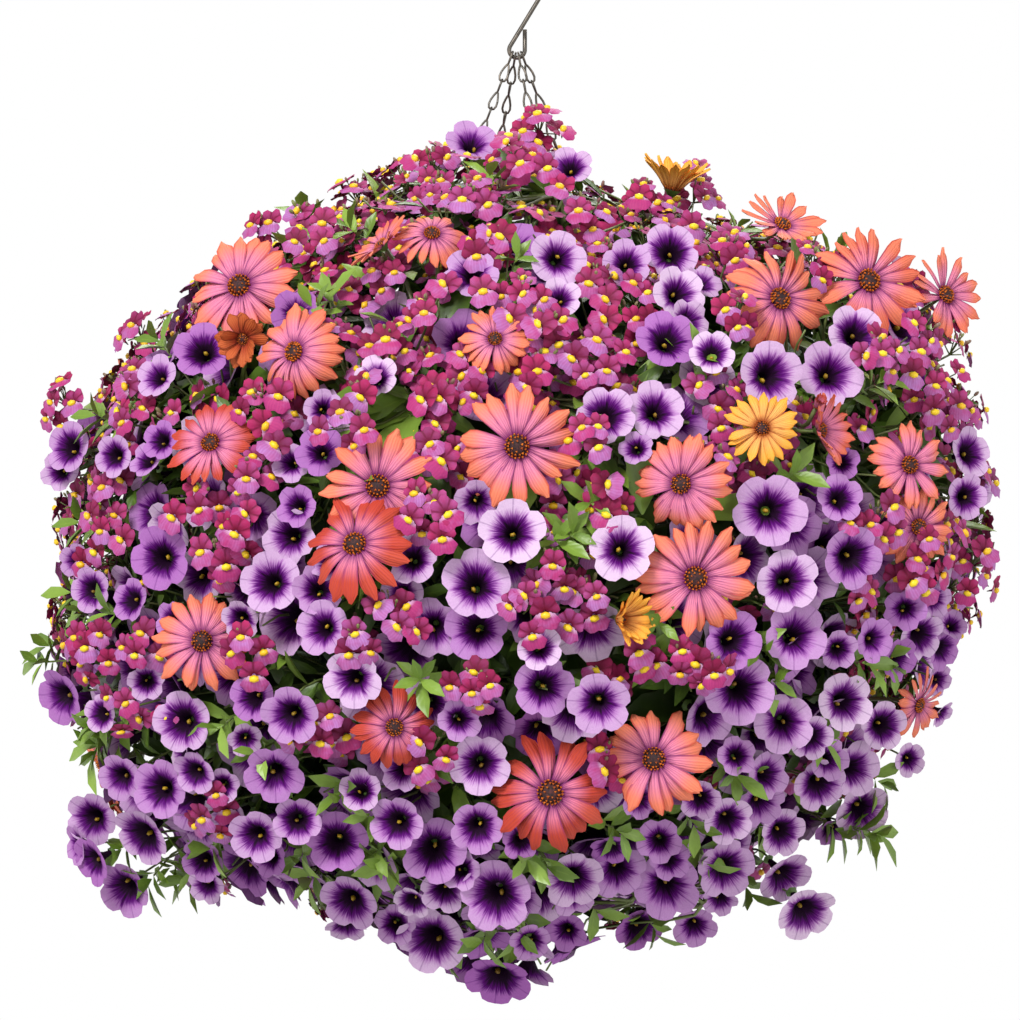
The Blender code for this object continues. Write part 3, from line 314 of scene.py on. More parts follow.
@dataclass
class Ball:
    """The ball of flowers, and the flat front view that it was laid out from."""

    centre: Vector = field(default_factory=lambda: BALL_CENTRE.copy())
    depth: float = BALL_DEPTH
    search_start: float = 0.33
    search_step: float = 0.002
    search_steps: int = 190

    def radius(self, direction: Vector) -> float:
        """Distance from the ball's centre to its surface.

        Args:
            direction: Unit vector.

        Returns:
            The distance in metres.
        """
        count = len(BALL_OUTLINE)
        place = (math.atan2(direction.z, direction.x) / math.tau * count) % count
        low = int(place)
        ease = (1 - math.cos(math.pi * (place - low))) / 2
        outline = BALL_OUTLINE[low % count] * (1 - ease) + BALL_OUTLINE[(low + 1) % count] * ease
        sideways = direction.x * direction.x + direction.z * direction.z
        return self.depth + (outline - self.depth) * sideways

    def under(self, direction: Vector, inset: float) -> Vector:
        """Return the point that lies so far under the surface."""
        return self.centre + direction * (self.radius(direction) - inset)

    def sunk(self, point: Vector) -> float:
        """Return how far a point lies under the surface."""
        offset = point - self.centre
        return self.radius(offset.normalized()) - offset.length

    def outward(self, place: Vector) -> Vector:
        """Return the unit way from the centre to a place."""
        return (place - self.centre).normalized()

    def view_point(self, across: float, down: float) -> Vector:
        """Return the point of the plane y = 0 that shows at a place of the flat view."""
        return Vector(((across - HANG_ACROSS) * UNIT, 0.0, (HANG_DOWN - down) * UNIT))

    def eye(self) -> Vector:
        """Return the point that the front view is seen from."""
        return self.view_point(VIEW_MIDDLE, VIEW_MIDDLE) + Vector((0.0, -VIEW_DISTANCE, 0.0))

    def seen(self, across: float, down: float) -> tuple[Vector, Vector]:
        """Find a place on the front of the ball.

        Args:
            across: Units from the view's left edge.
            down: Units from its top edge.

        Returns:
            The place, and the unit way from it back to the eye.
        """
        eye = self.eye()
        ray = (self.view_point(across, down) - eye).normalized()
        deepest = -math.inf
        for step in range(self.search_steps):
            point = eye + ray * (VIEW_DISTANCE - self.search_start + self.search_step * step)
            depth = self.sunk(point)
            if depth > deepest:
                deepest = depth
                place = point
            if depth >= 0:
                break
        return place, -ray


def facing_matrix(place: Vector, axis: Vector, roll: float = 0.0) -> Matrix:
    """Return the matrix that moves the origin to a place, sets +Z along an axis and rolls."""
    turn = axis.to_track_quat("Z", "Y").to_matrix().to_4x4()
    return Matrix.Translation(place) @ turn @ Matrix.Rotation(roll, 4, "Z")


def sides_matrix(right: Vector, up: Vector, out: Vector, place: Vector) -> Matrix:
    """Return the matrix that sets X, Y and Z along three unit vectors at a place.

    Args:
        right: Where X goes.
        up: Where Y goes.
        out: Where Z goes.
        place: Where the origin goes.

    Returns:
        The matrix.
    """
    matrix = Matrix((right, up, out)).transposed().to_4x4()
    matrix.translation = place
    return matrix


def square_to(along: Vector, way: Vector) -> Vector:
    """Return the unit part of a way that is square to a unit vector."""
    return (way - along * way.dot(along)).normalized()


def random_vector(draw: random.Random) -> Vector:
    """Return a random vector with parts between -1 and 1."""
    return Vector([draw.uniform(-1, 1) for _ in range(3)])


def held(value: float) -> float:
    """Return a value held between 0 and 1."""
    return min(1.0, max(0.0, value))


def kind_of(plant: str) -> Kind:
    """Return the kind of a plant."""
    return Kind(plant.split("_")[0])


def spiral(count: int) -> Iterator[Vector]:
    """Yield unit vectors that are spread evenly over a sphere, from the top down.

    Args:
        count: How many.

    Returns:
        The vectors, one by one.
    """
    for k in range(count):
        height = 1 - 2 * (k + 0.5) / count
        ring = math.sqrt(1 - height * height)
        yield Vector((math.cos(GOLDEN * k) * ring, math.sin(GOLDEN * k) * ring, height))


@dataclass
class ChainLayout:
    """Where each chain leg starts and ends."""

    guard_turns: tuple[float, ...] = (0, 1.57, 3.14, 4.71)
    guard_share: float = 0.75

    def radial(self, number: int) -> Vector:
        """Return the level unit vector from the pot's axis towards a leg's lug."""
        return Vector((math.cos(LEG_ANGLES[number]), math.sin(LEG_ANGLES[number]), 0))

    def ends(self, number: int) -> tuple[Vector, Vector]:
        """Give a leg's end points.

        Args:
            number: Index of the leg.

        Returns:
            The point in the hook's lower bend and the point in the pot's lug.
        """
        top = Vector(((number - 1.5) * LEG_SPREAD, 0, 0))
        bend = math.sqrt(HOOK_LOW_BEND ** 2 - top.x ** 2)
        top.z = HOOK_LOW_Z - bend + HOOK_WIRE + CHAIN_WIRE + CLEARANCE
        hole = self.radial(number) * LUG_HOLE_RING + Vector((0, 0, POT_RIM_Z + LUG_HOLE_RISE))
        return top, hole + (top - hole).normalized() * BAR_RISE

    def guard(self, number: int) -> BVHTree:
        """Return the search tree of a slim four-sided bar round a leg.

        Args:
            number: The leg's number.

        Returns:
            The tree.
        """
        top, bottom = self.ends(number)
        matrix = facing_matrix(top, (bottom - top).normalized())
        half = CHAIN_LOOP_WIDTH * self.guard_share
        rise = Vector((0, 0, (bottom - top).length))
        ring = [Vector((half * math.cos(a), half * math.sin(a), 0)) for a in self.guard_turns]
        points = ring + [corner + rise for corner in ring]
        faces = [(k, (k + 1) % 4, 4 + (k + 1) % 4, 4 + k) for k in range(4)]
        return BVHTree.FromPolygons([matrix @ point for point in points], faces)


@dataclass
class Layout:
    """Where the blooms of the solids are, and the plants that they belong to."""

    ball: Ball
    chains: ChainLayout
    room: float = 0.0004
    cone_share: float = 1.05
    near_share: float = 1.1
    lean_share: float = 0.25

    def cone_tree(self, bloom: Bloom) -> BVHTree:
        """Build the search tree of the double cone that a bloom fits in.

        Args:
            bloom: The bloom.

        Returns:
            The tree.
        """
        habit = KINDS[bloom.kind]
        sides = habit.sides
        radius = bloom.radius + self.room
        turns = [math.tau * k / sides for k in range(sides)]
        points = [
            Vector((math.cos(turn), math.sin(turn), 0)) * radius * self.cone_share for turn in turns
        ]
        points += [Vector((0, 0, habit.front * radius)), Vector((0, 0, -habit.back * radius))]
        faces = []
        for k in range(sides):
            after = (k + 1) % sides
            faces += [(k, after, sides), (after, k, sides + 1)]
        matrix = facing_matrix(bloom.place, bloom.axis)
        return BVHTree.FromPolygons([matrix @ point for point in points], faces)

    def listed(self) -> list[Bloom]:
        """Return the blooms of the front view.

        Returns:
            The blooms.
        """
        rows = [(Kind.OSTEOSPERMUM, *row) for row in DAISIES]
        rows += [(Kind.CALIBRACHOA, *row, 0, 0) for row in TRUMPETS]
        rows += [(Kind.NEMESIA, *row, 0, 0) for row in HEADS]
        blooms = []
        for kind, across, down, width, turn, tip in rows:
            place, slide = self.ball.seen(across, down)
            facing = KINDS[kind].facing
            axis = (self.ball.outward(place) * facing + slide * (1 - facing)).normalized()
            axis.rotate(Matrix.Rotation(math.radians(turn), 3, "Z"))
            axis.rotate(Matrix.Rotation(math.radians(-tip), 3, "X"))
            radius = width * UNIT / 2 * (place - self.ball.eye()).length / VIEW_DISTANCE
            blooms.append(Bloom(kind, place, axis, radius, slide, (across, down)))
        return blooms

    def gridded(self) -> list[Bloom]:
        """Return the blooms of the sides and back, on an even spiral grid over the ball.

        Returns:
            The blooms.
        """
        draw = random.Random(GRID_SEED)
        blooms = []
        for outward in spiral(GRID_POINTS):
            kind = GRID_KINDS[draw.randrange(len(GRID_KINDS))]
            lean = Vector((draw.uniform(-1, 1), draw.uniform(-1, 1), draw.uniform(-0.6, 1.2)))
            radius = KINDS[kind].grid_radius * draw.uniform(0.88, 1.1)
            if outward.y >= FRONT_LIMIT:
                place = self.ball.under(outward, GRID_INSET)
                axis = (outward + lean * self.lean_share).normalized()
                blooms.append(Bloom(kind, place, axis, radius, outward))
        return sorted(blooms, key=lambda bloom: list(Kind).index(bloom.kind))

    def settled(self) -> list[Bloom]:
        """Slide, and at last shrink, each bloom until it is clear of those before it.

        Returns:
            The blooms of the solids, with their plants.
        """
        guards = [self.chains.guard(number) for number in range(len(LEG_ANGLES))]
        placed: list[tuple[Bloom, BVHTree]] = []
        for bloom in self.listed() + self.gridded():
            start = bloom.place
            full = bloom.radius
            for shrink, lift in itertools.product(SHRINKS, LIFTS):
                bloom.radius = full * shrink
                bloom.lift = lift
                bloom.place = start + bloom.slide * lift
                reach = bloom.radius * self.near_share
                near = [
                    other_tree for other, other_tree in placed
                    if (other.place - bloom.place).length < reach + other.radius * self.near_share
                ]
                tree = self.cone_tree(bloom)
                if not any(tree.overlap(other_tree) for other_tree in near + guards):
                    bloom.plant = self.nearest_plant(bloom.kind, bloom.place)
                    placed.append((bloom, tree))
                    break
        return [bloom for bloom, _ in placed]

    def nearest_plant(self, kind: Kind, place: Vector) -> str:
        """Name the plant of a kind whose crown lies nearest in azimuth.

        Args:
            kind: The plant's kind.
            place: The bloom's place.

        Returns:
            The plant's node name.
        """
        turn = math.atan2(place.y, place.x)

        def away(name: str) -> float:
            """Return a crown's angle from the place."""
            angle = math.atan2(CROWNS[name].y, CROWNS[name].x)
            return abs((angle - turn + math.pi) % math.tau - math.pi)

        return min((name for name in CROWNS if kind_of(name) is kind), key=away)


@dataclass
class Pattern:
    """A modelled shape to copy: corners, triangles, and along and across values of its corners."""

    points: np.ndarray
    faces: np.ndarray
    paint: np.ndarray


def stand_in(piece: bpy.types.Object, node: str) -> None:
    """Set a finished piece in the place of a solid.

    Args:
        piece: The piece.
        node: Name of the solid.
    """
    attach(piece, "root")
    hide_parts(node)
    LOG.info("%s: %d faces", piece.name, len(piece.data.polygons))


def primitive(operator: Callable[..., object], **settings: object) -> bpy.types.Object:
    """Add a primitive mesh, which is then the only selected object.

    Args:
        operator: The mesh operator that adds it.
        settings: The operator's settings.

    Returns:
        The object.
    """
    bpy.ops.object.select_all(action="DESELECT")
    operator(**settings)
    return bpy.context.object


def apply_modifier(thing: bpy.types.Object, kind: str, **settings: object) -> None:
    """Make an object active, add a modifier to it and apply it.

    Args:
        thing: The object.
        kind: The modifier's type.
        settings: Its settings.
    """
    modifier = thing.modifiers.new(kind.lower(), kind)
    for name, value in settings.items():
        setattr(modifier, name, value)
    bpy.context.view_layer.objects.active = thing
    bpy.ops.object.modifier_apply(modifier=modifier.name)


def edit_all(*steps: Callable[[], object]) -> None:
    """Run edit-mode operators on all of the active object.

    Args:
        steps: Functions that each run one operator.
    """
    bpy.ops.object.mode_set(mode="EDIT")
    bpy.ops.mesh.select_all(action="SELECT")
    for step in steps:
        step()
    bpy.ops.object.mode_set(mode="OBJECT")


def outside_out() -> None:
    """Turn the selected faces outwards."""
    bpy.ops.mesh.normals_make_consistent(inside=False)


def pattern_from(thing: bpy.types.Object) -> Pattern:
    """Read a modelled object into a pattern and remove it.

    Args:
        thing: A mesh object.

    Returns:
        The pattern.
    """
    apply_modifier(thing, "TRIANGULATE")
    mesh = thing.data
    points = np.empty((len(mesh.vertices), 3))
    mesh.vertices.foreach_get("co", points.ravel())
    faces = np.empty((len(mesh.polygons), 3), dtype=np.int64)
    mesh.loops.foreach_get("vertex_index", faces.ravel())
    paint = np.zeros((len(points), 4), dtype=np.float32)
    if "paint" in mesh.attributes:
        mesh.attributes["paint"].data.foreach_get("color", paint.ravel())
    bpy.data.objects.remove(thing)
    return Pattern(points, faces, paint.astype(float))


def blade_pattern(
    columns: int, rows: int, shape: Callable[[float, float], tuple], thickness: float,
    wrapped: bool = False,
) -> Pattern:
    """Model a thin closed blade from two grids that meet at their edge.

    Args:
        columns: Faces across.
        rows: Faces along.
        shape: Gives x, y, z and two paint values for each place (across, along), both 0 to 1.
        thickness: The blade's thickness, in the shape's units.
        wrapped: Whether the blade closes on itself across.

    Returns:
        The pattern.
    """
    sides = []
    for drop in (0.0, thickness):
        thing = primitive(
            bpy.ops.mesh.primitive_grid_add, x_subdivisions=columns, y_subdivisions=rows, size=2,
        )
        paint = thing.data.attributes.new("paint", "FLOAT_COLOR", "POINT")
        for vert, value in zip(thing.data.vertices, paint.data):
            across = (vert.co.x + 1) / 2
            along = (vert.co.y + 1) / 2
            inner = 0.01 < along < 0.99 and (wrapped or 0.01 < across < 0.99)
            x, y, z, first, second = shape(across, along)
            vert.co = (x, y, z - (drop if inner else 0.0))
            value.color = (first, second, 0.0, 0.0)
        sides.append(thing)
    sides[0].select_set(True)
    bpy.context.view_layer.objects.active = sides[0]
    bpy.ops.object.join()
    edit_all(lambda: bpy.ops.mesh.remove_doubles(threshold=0.0005), outside_out)
    return pattern_from(bpy.context.object)


def between(value: float, stations: tuple[tuple[float, float], ...]) -> float:
    """Return the value at a place on a line of stations, each a place and a value."""
    return float(np.interp(value, *zip(*stations)))


class Patterns:
    """The shapes that are modelled once and copied."""

    def __init__(self) -> None:
        """Model every pattern."""
        self.rays = [(sweep, self.ray(notch, sweep)) for sweep in RAY_SWEEPS for notch in (0, 0.06)]
        self.disc = self.dome(12, 5, (0.19, 0.19, 0.10))
        self.grain = self.cone(3, 0.024, 0.05)
        self.calyx = self.cone(6, 0.30, 0.26)
        self.trumpets = [self.trumpet(seed, 30, 5) for seed in (3, 5, 8, 13)]
        self.plain_trumpets = [self.trumpet(seed, 20, 4) for seed in (21, 34)]
        self.eye = self.dome(5, 4, (0.10, 0.075, 0.13))
        self.hoods = (self.floret_hood(2), self.floret_hood(1))
        self.lips = (self.floret_lip(6, 3), self.floret_lip(4, 2))
        self.palates = (self.dome(6, 3, (0.32, 0.21, 0.20)), self.dome(4, 3, (0.32, 0.22, 0.20)))
        self.spur = self.cone(3, 0.12, 0.5)
        self.bud = self.dome(5, 4, (0.5, 0.5, 1.0))
        self.leaves = {
            Kind.CALIBRACHOA: blade_pattern(2, 3, self.leaf(0.38, 0.60, 0.0), 0.03),
            Kind.NEMESIA: blade_pattern(2, 4, self.leaf(0.30, 0.45, 0.0), 0.03),
            Kind.OSTEOSPERMUM: blade_pattern(2, 6, self.leaf(0.42, 0.66, 0.20), 0.02),
        }

    def dome(self, segments: int, rings: int, scale: tuple[float, float, float]) -> Pattern:
        """Model a rounded body.

        Args:
            segments: Its sides.
            rings: Its rings.
            scale: Its half sizes.

        Returns:
            The pattern.
        """
        thing = primitive(
            bpy.ops.mesh.primitive_uv_sphere_add, segments=segments, ring_count=rings, radius=1,
        )
        paint = thing.data.attributes.new("paint", "FLOAT_COLOR", "POINT")
        for vert, value in zip(thing.data.vertices, paint.data):
            value.color = (math.hypot(vert.co.x, vert.co.y), vert.co.z / 2 + 0.5, 0.0, 0.0)
        edit_all(lambda: bpy.ops.transform.resize(value=scale))
        return pattern_from(thing)

    def cone(self, sides: int, radius: float, height: float) -> Pattern:
        """Model a cone with its foot at the origin and its point on +Z.

        Args:
            sides: Its sides.
            radius: Its foot's radius.
            height: Its height.

        Returns:
            The pattern.
        """
        thing = primitive(
            bpy.ops.mesh.primitive_cone_add, vertices=sides, radius1=radius,
            radius2=radius * 0.25, depth=height, location=(0, 0, height / 2),
        )
        bpy.ops.object.transform_apply(location=True)
        return pattern_from(thing)

    def ray(self, notch: float, sweep: float) -> Pattern:
        """Model a daisy's ray: root at the origin, along +Y, with two grooves and a blunt tip.

        Args:
            notch: Depth of the notch in its tip.
            sweep: How far its tip sweeps back, as a share of its length.

        Returns:
            The pattern, one unit long.
        """
        width = ((0.0, 0.070), (0.3, 0.126), (0.65, 0.168), (0.82, 0.158), (0.93, 0.118), (1.0, 0.062))

        def shape(across: float, along: float) -> tuple[float, ...]:
            """Place a corner of the ray.

            Args:
                across: The share of the width.
                along: The share of the length.

            Returns:
                The place and the paint.
            """
            side = across * 2 - 1
            tip = notch * (1 - abs(side)) + 0.06 * side ** 4 + 0.02 * side + 0.4 * sweep * sweep
            groove = 0.022 * math.cos(side * math.tau)
            camber = 0.06 * math.sin(along * math.pi) - 0.05 * side * side - sweep * along ** 2
            reach = along * (1 - tip * along ** 3)
            return side * between(along, width), reach, groove + camber, along, across

        return blade_pattern(4, 6, shape, 0.02)

    def trumpet(self, seed: int, columns: int, rows: int) -> Pattern:
        """Model a calibrachoa trumpet: mouth at the origin, facing +Z, rim radius one.

        Args:
            seed: Seed of its ruffles.
            columns: Faces round it.
            rows: Faces along it.

        Returns:
            The pattern.
        """
        draw = random.Random(seed)
        waves = [(draw.uniform(0.02, 0.06), draw.uniform(0, math.tau)) for _ in range(2)]
        radius = ((0, 0.09), (0.2, 0.14), (0.4, 0.28), (0.6, 0.52), (0.8, 0.78), (1, 1.0))
        height = ((0, -1.05), (0.2, -0.70), (0.4, -0.36), (0.6, -0.13), (0.8, -0.04), (1, 0.0))

        def shape(across: float, along: float) -> tuple[float, ...]:
            """Place a corner of the trumpet.

            Args:
                across: The share of the width.
                along: The share of the length.

            Returns:
                The place and the paint.
            """
            angle = across * math.tau
            notch = (abs((across * 5) % 1 - 0.5) * 2) ** 4
            reach = between(along, radius) * (1.05 - 0.19 * notch * along ** 3)
            ruffle = sum(
                size * math.sin(angle * (2 + k) + phase) for k, (size, phase) in enumerate(waves)
            )
            fold = 0.03 - 0.10 * notch
            x = reach * math.cos(angle)
            y = reach * math.sin(angle)
            rise = between(along, height) + (ruffle + fold) * along ** 3
            return x, y, rise, x * 0.4 + 0.5, y * 0.4 + 0.5

        return blade_pattern(columns, rows, shape, 0.02, True)

    def floret_hood(self, rows: int) -> Pattern:
        """Model the four upper lobes of a nemesia floret, up +Y, facing +Z.

        Args:
            rows: Rows of faces outwards.

        Returns:
            The hood.
        """

        def shape(across: float, along: float) -> tuple[float, ...]:
            """Place a corner of the hood.

            Args:
                across: The share of the width.
                along: The share of the length.

            Returns:
                The place and the paint.
            """
            angle = math.radians(-12 + 204 * across)
            lobe = ((across * 4) % 1 - 0.5) * 2
            notch = abs(lobe) ** 5
            outer = 0.94 if 0.2 < across < 0.8 else 0.80
            reach = 0.10 + (outer - 0.10 - 0.16 * notch) * along
            rise = 0.14 * math.sin(along * 2.2) - 0.12 * notch * along
            return reach * math.cos(angle), reach * math.sin(angle), rise, along, abs(lobe)

        return blade_pattern(12, rows, shape, 0.03)

    def floret_lip(self, columns: int, rows: int) -> Pattern:
        """Model the two-lobed lower lip of a nemesia floret, facing +Z.

        Args:
            columns: Columns of faces across.
            rows: Rows of faces outwards.

        Returns:
            The lip.
        """
        width = ((0.0, 0.40), (0.4, 0.72), (0.75, 0.82), (1.0, 0.72))

        def shape(across: float, along: float) -> tuple[float, ...]:
            """Place a corner of the lip.

            Args:
                across: The share of the width.
                along: The share of the length.

            Returns:
                The place and the paint.
            """
            side = across * 2 - 1
            cleft = (0.16 * (1 - abs(side)) ** 2 + 0.42 * side ** 4) * along ** 2
            rise = 0.12 + 0.10 * math.sin(math.pi * along * 0.9) - 0.10 * side * side
            return side * between(along, width), -1.04 * along + cleft, rise, along, abs(side)

        return blade_pattern(columns, rows, shape, 0.03)

    def leaf(self, width: float, widest: float, teeth: float) -> Callable[[float, float], tuple]:
        """Shape a leaf: root at the origin, along +Y, folded a little at its midrib.

        Args:
            width: Its width, as a share of its length.
            widest: Where it is widest, from root to tip.
            teeth: Depth of its teeth, as a share of its half width.

        Returns:
            The shape function.
        """

        def shape(across: float, along: float) -> tuple[float, ...]:
            """Place a corner of the leaf.

            Args:
                across: The share of the width.
                along: The share of the length.

            Returns:
                The place and the paint.
            """
            side = across * 2 - 1
            rise = along / widest if along < widest else (1 - along) / (1 - widest)
            half = width / 2 * (0.06 + 0.94 * math.sin(rise * math.pi / 2) ** 0.8)
            if teeth:
                half *= 1 - teeth * (round(along * 6) % 2)
            fold = abs(side) * half * 0.35 - 0.16 * along * along
            return side * half, along, fold, along, abs(side)

        return shape


@dataclass
class Bouquet:
    """Copies of patterns and stems that are gathered in one piece."""

    name: str
    points: list[np.ndarray] = field(default_factory=list)
    faces: list[np.ndarray] = field(default_factory=list)
    paint: list[np.ndarray] = field(default_factory=list)
    slots: list[np.ndarray] = field(default_factory=list)
    count: int = 0

    def add(
        self, pattern: Pattern, matrix: Matrix, slot: int, tone: float = 0.5, extra: float = 0.0,
    ) -> None:
        """Add a copy of a pattern.

        Args:
            pattern: The shape.
            matrix: Where it goes.
            slot: Index of its finish on the piece.
            tone: Colour variation of this copy, 0 to 1.
            extra: A second variation, 0 to 1.
        """
        turned = np.array(matrix)
        paint = pattern.paint.copy()
        paint[:, 2:] = (tone, extra)
        self.points.append(pattern.points @ turned[:3, :3].T + turned[:3, 3])
        self.faces.append(pattern.faces + self.count)
        self.paint.append(paint)
        self.slots.append(np.full(len(pattern.faces), slot))
        self.count += len(paint)

    def add_stem(
        self, path: list[Vector], girths: tuple[float, float], slot: int, tone: float = 0.5,
        sides: int = 3,
    ) -> None:
        """Add a tapered stem with closed ends.

        Args:
            path: Points that it follows.
            girths: Radius at its first and at its last point.
            slot: Index of its finish on the piece.
            tone: Colour variation, 0 to 1.
            sides: Sides of its section.
        """
        points = []
        paint = []
        faces = []
        side = Vector((0.31, 0.21, 0.93))
        last = (len(path) - 1) * sides
        for k, point in enumerate(path):
            along = (path[min(len(path) - 1, k + 1)] - path[max(0, k - 1)]).normalized()
            side = square_to(along, side)
            other = along.cross(side)
            share = k / (len(path) - 1)
            girth = girths[0] * (1 - share) + girths[1] * share
            for turn in range(sides):
                angle = math.tau * turn / sides
                points.append(point + (side * math.cos(angle) + other * math.sin(angle)) * girth)
                paint.append((share, turn / sides, 0.0, 0.0))
                low = k * sides + turn
                after = k * sides + (turn + 1) % sides
                if low < last:
                    faces += [(low, after, after + sides), (low, after + sides, low + sides)]
        for turn in range(1, sides - 1):
            faces += [(0, turn + 1, turn), (last, last + turn, last + turn + 1)]
        pattern = Pattern(np.array([tuple(point) for point in points]), np.array(faces), np.array(paint))
        self.add(pattern, Matrix.Identity(4), slot, tone)

    def build(self, finishes: tuple["Finish", ...]) -> bpy.types.Object:
        """Make the piece's object.

        Args:
            finishes: Its finishes, in the order of the slots.

        Returns:
            The object, at the origin.
        """
        points = np.concatenate(self.points).astype(np.float32)
        faces = np.concatenate(self.faces).astype(np.int32)
        mesh = bpy.data.meshes.new(self.name)
        mesh.vertices.add(len(points))
        mesh.vertices.foreach_set("co", points.ravel())
        mesh.loops.add(faces.size)
        mesh.loops.foreach_set("vertex_index", faces.ravel())
        mesh.polygons.add(len(faces))
        mesh.polygons.foreach_set("loop_start", np.arange(0, faces.size, 3, dtype=np.int32))
        mesh.polygons.foreach_set("loop_total", np.full(len(faces), 3, dtype=np.int32))
        mesh.update(calc_edges=True)
        mesh.polygons.foreach_set("material_index", np.concatenate(self.slots).astype(np.int32))
        mesh.polygons.foreach_set("use_smooth", np.ones(len(faces), dtype=bool))
        paint = mesh.attributes.new("paint", "FLOAT_COLOR", "POINT")
        paint.data.foreach_set("color", np.concatenate(self.paint).astype(np.float32).ravel())
        mesh.set_sharp_from_angle(angle=math.radians(PETAL_EDGE))
        for finish in finishes:
            mesh.materials.append(finish.material())
        thing = bpy.data.objects.new(self.name, mesh)
        bpy.context.scene.collection.objects.link(thing)
        return thing


@dataclass(frozen=True)
class Value:
    """A socket of a material that takes part in arithmetic."""

    graph: "Graph"
    socket: bpy.types.NodeSocket

    def __add__(self, other: "Value | float") -> "Value":
        """Return the sum."""
        return self.graph.math("ADD", self, other)

    def __mul__(self, other: "Value | float") -> "Value":
        """Return the product."""
        return self.graph.math("MULTIPLY", self, other)

    def __sub__(self, other: "Value | float") -> "Value":
        """Return the difference."""
        return self.graph.math("SUBTRACT", self, other)

    def __rsub__(self, other: float) -> "Value":
        """Return a number less the value."""
        return self.graph.math("SUBTRACT", other, self)

    def __pow__(self, other: float) -> "Value":
        """Return the power."""
        return self.graph.math("POWER", self, other)

    __radd__ = __add__
    __rmul__ = __mul__

    def clamped(self) -> "Value":
        """Return the value held between 0 and 1."""
        return self.graph.math("ADD", self, 0.0, clamp=True)

    def step(self, low: float, high: float) -> "Value":
        """Return a smooth step that leaves 0 at the low value and reaches 1 at the high one."""
        inputs = {"Value": self, "From Min": low, "From Max": high}
        return self.graph.node("ShaderNodeMapRange", {"interpolation_type": "SMOOTHSTEP"}, inputs)


@dataclass(frozen=True)
class Graph:
    """Node tree of a material or of the surroundings."""

    tree: bpy.types.NodeTree

    def node(
        self, kind: str, settings: dict[str, object], inputs: dict[str | int, object],
        output: str | int = 0,
    ) -> Value:
        """Add a node.

        Args:
            kind: Its type.
            settings: Its settings.
            inputs: Values or links of its sockets, by name or index.
            output: The output that is wanted.

        Returns:
            That output.
        """
        made = self.tree.nodes.new(kind)
        for name, value in settings.items():
            setattr(made, name, value)
        self.connect(made, inputs)
        return Value(self, made.outputs[output])

    def connect(self, node: bpy.types.Node, inputs: dict[str | int, object]) -> None:
        """Set or link a node's sockets.

        Args:
            node: The node.
            inputs: Values or links of its sockets, by name or index.
        """
        for name, value in inputs.items():
            if isinstance(value, Value):
                self.tree.links.new(value.socket, node.inputs[name])
            else:
                node.inputs[name].default_value = value

    def math(
        self, operation: str, first: object, second: object = 0.0, clamp: bool = False,
    ) -> Value:
        """Return a Math node's result, from Values or numbers."""
        settings = {"operation": operation, "use_clamp": clamp}
        return self.node("ShaderNodeMath", settings, {0: first, 1: second})

    def mix(self, factor: object, first: object, second: object) -> Value:
        """Mix two colours.

        Args:
            factor: Share of the second.
            first: Colour or Value.
            second: Colour or Value.

        Returns:
            The mixed colour.
        """
        first = (*first, 1) if isinstance(first, tuple) else first
        second = (*second, 1) if isinstance(second, tuple) else second
        inputs = {0: factor, 6: first, 7: second}
        return self.node("ShaderNodeMix", {"data_type": "RGBA"}, inputs, 2)

    def paint(self) -> tuple[Value, Value, Value, Value]:
        """Return the piece's along, across, tone and extra values.

        Returns:
            The four values.
        """
        name = {"attribute_name": "paint"}
        values = self.node("ShaderNodeAttribute", name, {}, "Vector")
        parts = [self.node("ShaderNodeSeparateXYZ", {}, {0: values}, k) for k in range(3)]
        return *parts, self.node("ShaderNodeAttribute", name, {}, "Alpha")

    def noise(self, scale: float, detail: float = 2.0) -> Value:
        """Return noise over the piece's own place, from its scale per metre and its detail."""
        place = self.node("ShaderNodeTexCoord", {}, {}, "Object")
        return self.node("ShaderNodeTexNoise", {}, {"Vector": place, "Scale": scale, "Detail": detail})

    def finish(
        self, colour: Value, roughness: object, bump: Value, depth: float, gloss: float = 0.5,
        metallic: float = 0.0,
    ) -> None:
        """Connect the shader.

        Args:
            colour: Base colour.
            roughness: Number or Value.
            bump: Height.
            depth: Height of the bump in metres.
            gloss: Strength of its reflections.
            metallic: 1 for bare metal.
        """
        heights = {"Height": bump, "Distance": depth, "Strength": 1.0}
        self.connect(self.tree.nodes["Principled BSDF"], {
            "Base Color": colour, "Roughness": roughness, "Specular IOR Level": gloss,
            "Metallic": metallic, "Normal": self.node("ShaderNodeBump", {}, heights),
        })


def shade(red: int, green: int, blue: int) -> Rgb:
    """Turn a screen colour of parts from 0 to 255 into a linear one."""
    return tuple((part / 255) ** 2.2 for part in (red, green, blue))


@dataclass(frozen=True)
class Finish:
    """A finish: its name, and the material that it makes once."""

    name: str

    def material(self) -> bpy.types.Material:
        """Return the finish's material, made at its first use.

        Returns:
            The material.
        """
        found = bpy.data.materials.get(self.name)
        if found:
            return found
        made = bpy.data.materials.new(self.name)
        made.use_nodes = True
        self.dress(Graph(made.node_tree))
        return made

    def dress(self, graph: Graph) -> None:
        """Fill the material's graph."""
        raise NotImplementedError


